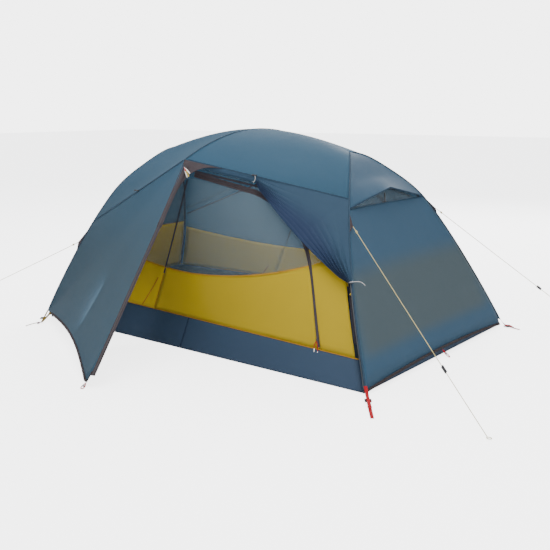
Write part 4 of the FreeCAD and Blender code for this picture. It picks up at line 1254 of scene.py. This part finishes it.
def gusset(name, side, low_left, low_right, reach_left, reach_right):
    """The stitched triangle where the zip tape fans out under the ridge tip and along the eave."""
    tip = ridge(side, 1) + Vector((0, side * 0.003, -0.003))
    rows = []
    for k in steps(0, 1, 16):
        zip_left, zip_right = (zip_line(side, GUSSET_FOOT * k, shift) for shift in (low_left, low_right))
        left = tip.lerp(eave(-1, side, 1) if reach_left else tip, reach_left * (1 - k)).lerp(zip_left, k)
        right = tip.lerp(eave(1, side, 1), reach_right * (1 - k) ** 2).lerp(zip_right, k ** 0.8)
        rows.append([left.lerp(right, j / 16) + zip_face(side) * 0.0022 for j in range(17)])
    piece = cloth(name, rows, ZIP_TAPE, None, 0.0012)
    fasten(piece, "zip_tape")


gusset("front_gusset", -1, -TAPE_W, 0.006, 0.0, 0.24)


# ==== Front door, head side, tied back =====================================================
# The open half is rolled under the eave as far as its toggle; from there it hangs in pleats that
# run together to an elastic loop on the head leg.
GATHER_FROM, GATHER_TO = 0.44, 0.72


def gathered_rows(count, columns):
    seam = [eave(1, -1, k) for k in steps(GATHER_FROM, 1, 6)]
    seam += [leg(1, -1, s) for s in steps(EAVE_FRACTION[1], GATHER_TO, 12)[1:]]
    start, finish = seam[0], leg(1, -1, GATHER_TO)
    free = [start + Vector((0.0, 0, -0.022))]
    for k in steps(0, 1, 12)[1:-1]:
        free.append(start.lerp(finish, k) + Vector((-0.018, -0.008, -0.030 * math.sin(math.pi * k) - 0.016)))
    free.append(finish + Vector((-0.008, -0.004, -0.010)))
    return [[along(seam, i / count).lerp(along(free, i / count), j / columns) for j in range(columns + 1)]
            for i in range(count + 1)]


drape_rows = gathered_rows(90, 90)
row_widths = [(row[-1] - row[0]).length for row in drape_rows]


PLEATS = ((0.30, 0.050, 0.5), (0.50, 0.035, 0.9), (0.63, 0.030, 0.7), (0.74, 0.028, 1.0), (0.83, 0.022, 0.8),
          (0.90, 0.020, 1.0), (0.96, 0.015, 0.8))    # place across the cloth, half width, depth


def pleats(i, j, point):
    """Folds leave the toggle and run together again at the tie; the middle stays nearly flat."""
    width = row_widths[round(i * (len(row_widths) - 1))]
    wander = 0.05 * noise.noise(Vector((i * 4.0, j * 3.0, 7.0)))
    depth = math.exp(-(i / 0.20) ** 2) * 0.6 + math.exp(-((1 - i) / 0.28) ** 2) + 0.10 * j ** 4
    lines = 0.0
    for place, sharp, weight in PLEATS:
        offset = (j + wander - place) / sharp
        lines += weight * (math.exp(-(offset - 1.2) ** 2) - 1.1 * math.exp(-offset ** 2))
    swell = math.sin(math.pi * j) * math.sin(math.pi * i)
    return min(width * 0.11, 0.010) * lines * depth + 0.006 * swell + 0.002 * noise.noise(point * 6.0)


drape = cloth("front_right_door_drape", drape_rows, DRAPE_CLOTH, pleats, 0.0012)
sewn_in(drape, "tent", "fly_front_right_door", held="gathered", hangs_from=("fly_roof_span",))

ROLL_START, ROLL_END = 0.10, GATHER_FROM + 0.015
ROLL_DROP = 0.0145                               # middle of the roll below the eave
roll_rows = []
for k in steps(ROLL_START, ROLL_END, 50):
    middle = eave(1, -1, k) + Vector((-0.001, 0.001, -ROLL_DROP))
    full = 0.35 + 0.65 * min(1.0, (k - ROLL_START) / 0.10) * min(1.0, 0.35 + (ROLL_END - k) / 0.03)
    ring = []
    for turn in steps(0, 2 * math.pi, 36):
        fold = 1 + 0.16 * math.sin(5 * turn + 9 * k) + 0.08 * math.sin(9 * turn - 14 * k + 1)
        thin, tall = -0.0065 * math.cos(turn), 0.0125 * math.sin(turn)
        ring.append(middle + Vector((0, thin * fold * full, tall * fold * full)))
    roll_rows.append(ring)
roll = cloth("front_right_door_roll", roll_rows, DRAPE_CLOTH, None, 0.0008,
             inside=eave(1, -1, 0.27) + Vector((0, 0, -ROLL_DROP)))
fasten(roll, "fly")
ELASTIC = tape_finish("white_elastic", (0.62, 0.60, 0.58), 0.0010)


def elastic_loop(name, points, radius=0.0014, material=ELASTIC):
    fasten(tube(name, rounded(points), radius, material, 8), "guy_cord")


toggle_at = eave(1, -1, GATHER_FROM)
elastic_loop("toggle_elastic", [toggle_at + Vector(offset) for offset in (
    (0.002, -0.009, 0.006), (0.010, -0.014, -0.006), (0.004, -0.014, -0.024), (-0.008, -0.010, -0.028),
    (-0.010, -0.004, -0.018), (-0.004, 0.0, -0.006))])
tie_at = leg(1, -1, GATHER_TO)
elastic_loop("tie_elastic", [tie_at + Vector(offset) for offset in (
    (-0.012, -0.008, -0.004), (-0.002, -0.012, 0.002), (0.018, -0.006, 0.004), (0.036, 0.002, 0.006),
    (0.050, 0.010, -0.002), (0.056, 0.016, -0.012))])
elastic_loop("tie_band", [tie_at + Vector(offset) for offset in (
    (-0.014, 0.006, 0.004), (-0.020, -0.006, 0.0), (-0.010, -0.014, -0.004), (0.002, -0.010, -0.006),
    (0.004, 0.0, -0.004))], 0.0018, MOULDED)


# ==== Back doors ===========================================================================
# The back vestibule is closed: two panels like the front one meet at a zip over the back peg.
left_rows = door_panel("back_left_door_cloth", -1, 1, -TAPE_W / 2, "back_left_flap", "fly_back_left_flap",
                       "fly_back_panels")
right_rows = door_panel("back_right_door_cloth", 1, 1, TAPE_W / 2, "back_right_flap", "fly_back_right_flap")
for rows, shift, body, name in ((left_rows, -TAPE_W / 2, "back_left_flap", "back_left_hem"),
                                (right_rows, TAPE_W / 2, "back_right_flap", "back_right_hem")):
    free_edge = [row[-1] for row in rows]
    start = min(range(len(free_edge)), key=lambda i: (free_edge[i] - zip_line(1, 1.0, shift)).length)
    strip = ribbon(name, free_edge[start:-2], (0.0, 0.7, 0.5), HEM_W, HEM_T, HEM_TAPE, 0.001)
    fasten(strip, "zip_tape", body=body)
door_zipper("back_zip", 1, 0.0, "back_left_flap", "back_zip_tape", "back_slider", "back_zip_slider")
gusset("back_gusset", 1, -TAPE_W / 2, TAPE_W / 2, 0.12, 0.12)


# ==== Flysheet seams =======================================================================
# Felled seams, two rows of stitching each, follow the ridge, the legs and the eaves.
THREAD = hard_finish("seam_thread", (0.030, 0.075, 0.115), 0.7, 0.0, 200.0)


def felled_seam(name, points, outward, width=0.008):
    fasten(ribbon(name, points, outward, width, 0.0011, SEAM_TAPE, 0.0009), "fly")
    for row, offset in enumerate((-0.0026, 0.0026)):
        shifted = []
        for i, p in enumerate(points):
            way = (points[min(i + 1, len(points) - 1)] - points[max(i - 1, 0)]).normalized()
            up = outward(i, p)
            shifted.append(p + way.cross(up).normalized() * offset + up.normalized() * 0.0021)
        thread = lay_along("%s_stitches_%d" % (name, row), shifted, 0.006, (0.0007, 0.0007, 0.0036), THREAD)
        fasten(thread, "fly")


for end, end_name in ((-1, "left"), (1, "right")):
    for side, side_name in ((-1, "front"), (1, "back")):
        def leg_out(i, p, end=end, side=side):
            return Vector((end * 0.55, side * 0.9, 0.35 + 0.5 * p.z)).normalized()

        def eave_out(i, p, side=side):
            return Vector((p.x * 0.2, side, 0.55)).normalized()

        felled_seam("leg_seam_%s_%s" % (side_name, end_name),
                    [leg(end, side, s) for s in steps(0.02, LEG_END, 60)], leg_out)
        felled_seam("eave_seam_%s_%s" % (side_name, end_name),
                    [eave(end, side, k) for k in steps(0.02, 1.0, 24)], eave_out, 0.007)
felled_seam("ridge_seam", [ridge(1 if k > 0 else -1, abs(k)) for k in steps(-0.99, 0.99, 40)],
            lambda i, p: Vector((0, p.y * 0.8, 1)).normalized())


# ==== Guy lines ============================================================================
# Pale braided cord from a reinforced triangle on each leg seam to a peg point in the ground,
# with a knot at the triangle, a sliding tensioner low down and a loop at the ground end.
def braid_finish():
    paint, nodes, links, shader = new_material("guy_braid")
    place = nodes.new("ShaderNodeTexCoord")
    wave = add_node(nodes, "ShaderNodeTexWave", Scale=160.0, Distortion=2.0)
    wear = add_node(nodes, "ShaderNodeGroup", node_tree=WEAR)
    links.new(place.outputs["Object"], wave.inputs["Vector"])
    links.new(place.outputs["Object"], wear.inputs["Vector"])
    blend = add_node(nodes, "ShaderNodeMix", data_type="RGBA")
    blend.inputs["A"].default_value = (0.46, 0.37, 0.11, 1)
    blend.inputs["B"].default_value = (0.58, 0.50, 0.26, 1)
    links.new(wave.outputs["Fac"], blend.inputs["Factor"])
    links.new(blend.outputs["Result"], shader.inputs["Base Color"])
    relief = add_node(nodes, "ShaderNodeBump")
    relief.inputs["Strength"].default_value = 0.5
    relief.inputs["Distance"].default_value = 0.0004
    links.new(wave.outputs["Fac"], relief.inputs["Height"])
    links.new(relief.outputs["Normal"], shader.inputs["Normal"])
    shader.inputs["Roughness"].default_value = 0.7
    return paint


GUY_BRAID = braid_finish()
PATCH_CLOTH = tape_finish("guy_patch_cloth", (0.050, 0.036, 0.038), 0.0022)
refinish("guy_patches", PATCH_CLOTH)
CORD_R = 0.0015
GUYS = {"front_right": ((0.8359, -0.4291, 0.6524), (1.690, -0.902, 0.0025)),
        "back_right": ((0.8249, 0.4412, 0.6523), (1.350, 1.206, 0.0025)),
        "front_left": ((-0.9467, -0.4322, 0.4262), (-1.890, -0.557, 0.0025)),
        "back_left": ((-0.9299, 0.4579, 0.4261), (-1.380, 1.190, 0.0025))}
for name, (high, low) in GUYS.items():
    high, low = Vector(high), Vector(low)
    run = (low - high).normalized()
    line = bpy.data.curves.new("guy_cord_%s" % name, "CURVE")
    line.dimensions = "3D"
    line.bevel_depth, line.bevel_resolution, line.use_fill_caps = CORD_R, 3, True
    path = line.splines.new("NURBS")
    path.points.add(2)
    for spot, point in zip(path.points, (high, high.lerp(low, 0.5) - Vector((0, 0, 0.003)), low)):
        spot.co = (*point, 1)
    path.order_u = 3
    path.use_endpoint_u = True
    path.resolution_u = 24
    line.materials.append(GUY_BRAID)
    cord = bpy.data.objects.new("guy_cord_%s" % name, line)
    bpy.context.collection.objects.link(cord)
    fasten(cord, "guy_cord", "guy_line_%s" % name)
    side_way = run.cross(Vector((0, 0, 1))).normalized()
    knot_points = []
    for k in range(25):
        turn = 2 * math.pi * k / 8
        knot_points.append(high + run * (0.030 + 0.0005 * k)
                           + (side_way * math.cos(turn) + side_way.cross(run) * math.sin(turn)) * 0.0032)
    knot = tube("guy_knot_%s" % name, knot_points, 0.0017, GUY_BRAID, 8)
    loop_points = []
    flat_run = Vector((run.x, run.y, 0)).normalized()
    for turn in steps(0, 2 * math.pi, 24):
        out = flat_run * (0.010 * (1 - math.cos(turn)) - 0.001)
        loop_points.append(low + out + side_way * (0.008 * math.sin(turn)) + Vector((0, 0, 0.0004)))
    loop = tube("guy_loop_%s" % name, loop_points, 0.0015, GUY_BRAID, 8)
    for thing in (knot, loop):
        fasten(thing, "guy_cord")
    refinish("guy_tensioner_%s" % name, MOULDED)


# ==== Corner webbing and loops =============================================================
# 15 mm red webbing from three floor corners runs through a black ladder-lock buckle to its peg hook.
# The front foot corner has two dark yellow straps that meet at a bead and a short tail of cord.
refinish("corner_buckles", MOULDED)
refinish("door_toggles", MOULDED)
STEEL = hard_finish("peg_hook_steel", (0.30, 0.31, 0.32), 0.30, 0.9, 90.0)
OLIVE_WEB = tape_finish("olive_webbing", (0.19, 0.12, 0.012), 0.002)
BEAD = hard_finish("cord_bead", (0.10, 0.035, 0.09), 0.35, 0.0, 120.0)
WEB_W, WEB_T = 0.015, 0.0016
STRAPS = {"front_right": ((1, -1), (0.150, -0.220)), "back_right": ((1, 1), (0.105, -0.030)),
          "back_left": ((-1, 1), (-0.150, 0.220))}


for number, (name, ((end, side), reach)) in enumerate(STRAPS.items()):
    corner = Vector((end * LENGTH / 2, side * (HEAD_WIDTH if end > 0 else FOOT_WIDTH) / 2, 0.0012))
    run = Vector((*reach, 0))
    hem = leg(end, side, LEG_END)
    line = rounded([hem + Vector((0, 0, 0.002)), corner + run * 0.05 + Vector((0, 0, 0.010)),
                    corner + run * 0.20 + Vector((0, 0, 0.0085)), corner + run * 0.32 + Vector((0, 0, 0.004)),
                    corner + run * 0.7 + Vector((0, 0, 0.0006)), corner + run])
    strap = ribbon("corner_strap_%s" % name, line, (0, 0, 1), WEB_W, WEB_T / 2, RED_WEB)
    fasten(strap, "webbing", *(["corner_straps"] if number == 0 else []))
    tail = rounded([corner + run * 0.24 + Vector((0, 0, 0.011)), corner + run * 0.40 + Vector((0, 0, 0.012)),
                    corner + run * 0.62 + Vector((0, 0, 0.0040))])
    loose = ribbon("corner_strap_tail_%s" % name, tail, (0, 0, 1), WEB_W * 0.95, WEB_T / 2, RED_WEB)
    fasten(loose, "webbing")
    across = run.cross(Vector((0, 0, 1))).normalized() * 0.008
    hook_at = corner + run * 0.52 + Vector((0, 0, 0.0035))
    along_run = run.normalized() * 0.012
    bend = rounded([hook_at - across, hook_at - across + along_run, hook_at + across + along_run,
                    hook_at + across, hook_at + across * 0.3 - along_run])
    fasten(tube("corner_hook_%s" % name, bend, 0.0018, STEEL, 8), "pole")

foot_corner = leg(-1, -1, LEG_END)
second = door_edge(-1, -1, 0.965, -TAPE_W)
meet = Vector((-1.001, -0.673, 0.006))
for name, start in (("corner", foot_corner), ("hem", second)):
    line = [start + Vector((0, 0, 0.001)), start.lerp(meet, 0.5) + Vector((0, 0, -0.002)), meet]
    strap = ribbon("front_left_strap_%s" % name, rounded(line), (0.3, -0.7, 0.3), 0.011, 0.0007, OLIVE_WEB)
    fasten(strap, "webbing")
tail_end = Vector((-1.012, -0.771, 0.003))
fasten(tube("front_left_bead", [meet.lerp(tail_end, k) for k in (0.10, 0.14, 0.24, 0.28)],
             [0.002, 0.0052, 0.0052, 0.002], BEAD, 12), "moulded")
tail_points = rounded([meet, meet.lerp(tail_end, 0.35) + Vector((0.004, 0, 0.004)),
                       meet.lerp(tail_end, 0.7) + Vector((-0.005, 0, 0.001)), tail_end])
fasten(tube("front_left_tail", tail_points, 0.0021, OLIVE_WEB, 8), "webbing")

LOOPS = {"front_door": (Vector((PEG_X, -VESTIBULE, HEM_HEIGHT)), Vector((0.063, -1.357, 0.001))),
         "back_door": (Vector((PEG_X, VESTIBULE, HEM_HEIGHT)), Vector((0.063, 1.357, 0.001))),
         "head_end": (Vector((LENGTH / 2 - 0.010, 0, 0.030)), Vector((1.128, 0, 0.001))),
         "foot_end": (Vector((-LENGTH / 2 + 0.010, 0, 0.030)), Vector((-1.128, 0, 0.001)))}
for number, (name, (high, low)) in enumerate(LOOPS.items()):
    run = low - high
    aside = run.cross(Vector((0, 0, 1))).normalized() * 0.0075
    top = high + Vector((0, 0, 0.002))
    ring = rounded([top, high.lerp(low, 0.45) + aside, low + aside * 0.9 - run * 0.08,
                    low + Vector((0, 0, 0.001)), low - aside * 0.9 - run * 0.08,
                    high.lerp(low, 0.45) - aside, top])
    loop = tube("peg_loop_%s" % name, ring, 0.0022, RED_WEB, 8)
    fasten(loop, "webbing", *(["peg_loops"] if number == 0 else []))
    fasten(tube("peg_loop_bead_%s" % name, [high.lerp(low, k) for k in (0.36, 0.40, 0.50, 0.54)],
                 [0.003, 0.0058, 0.0058, 0.003], STEEL, 10), "moulded")


# ==== Size of the finished model ===========================================================
low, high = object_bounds()
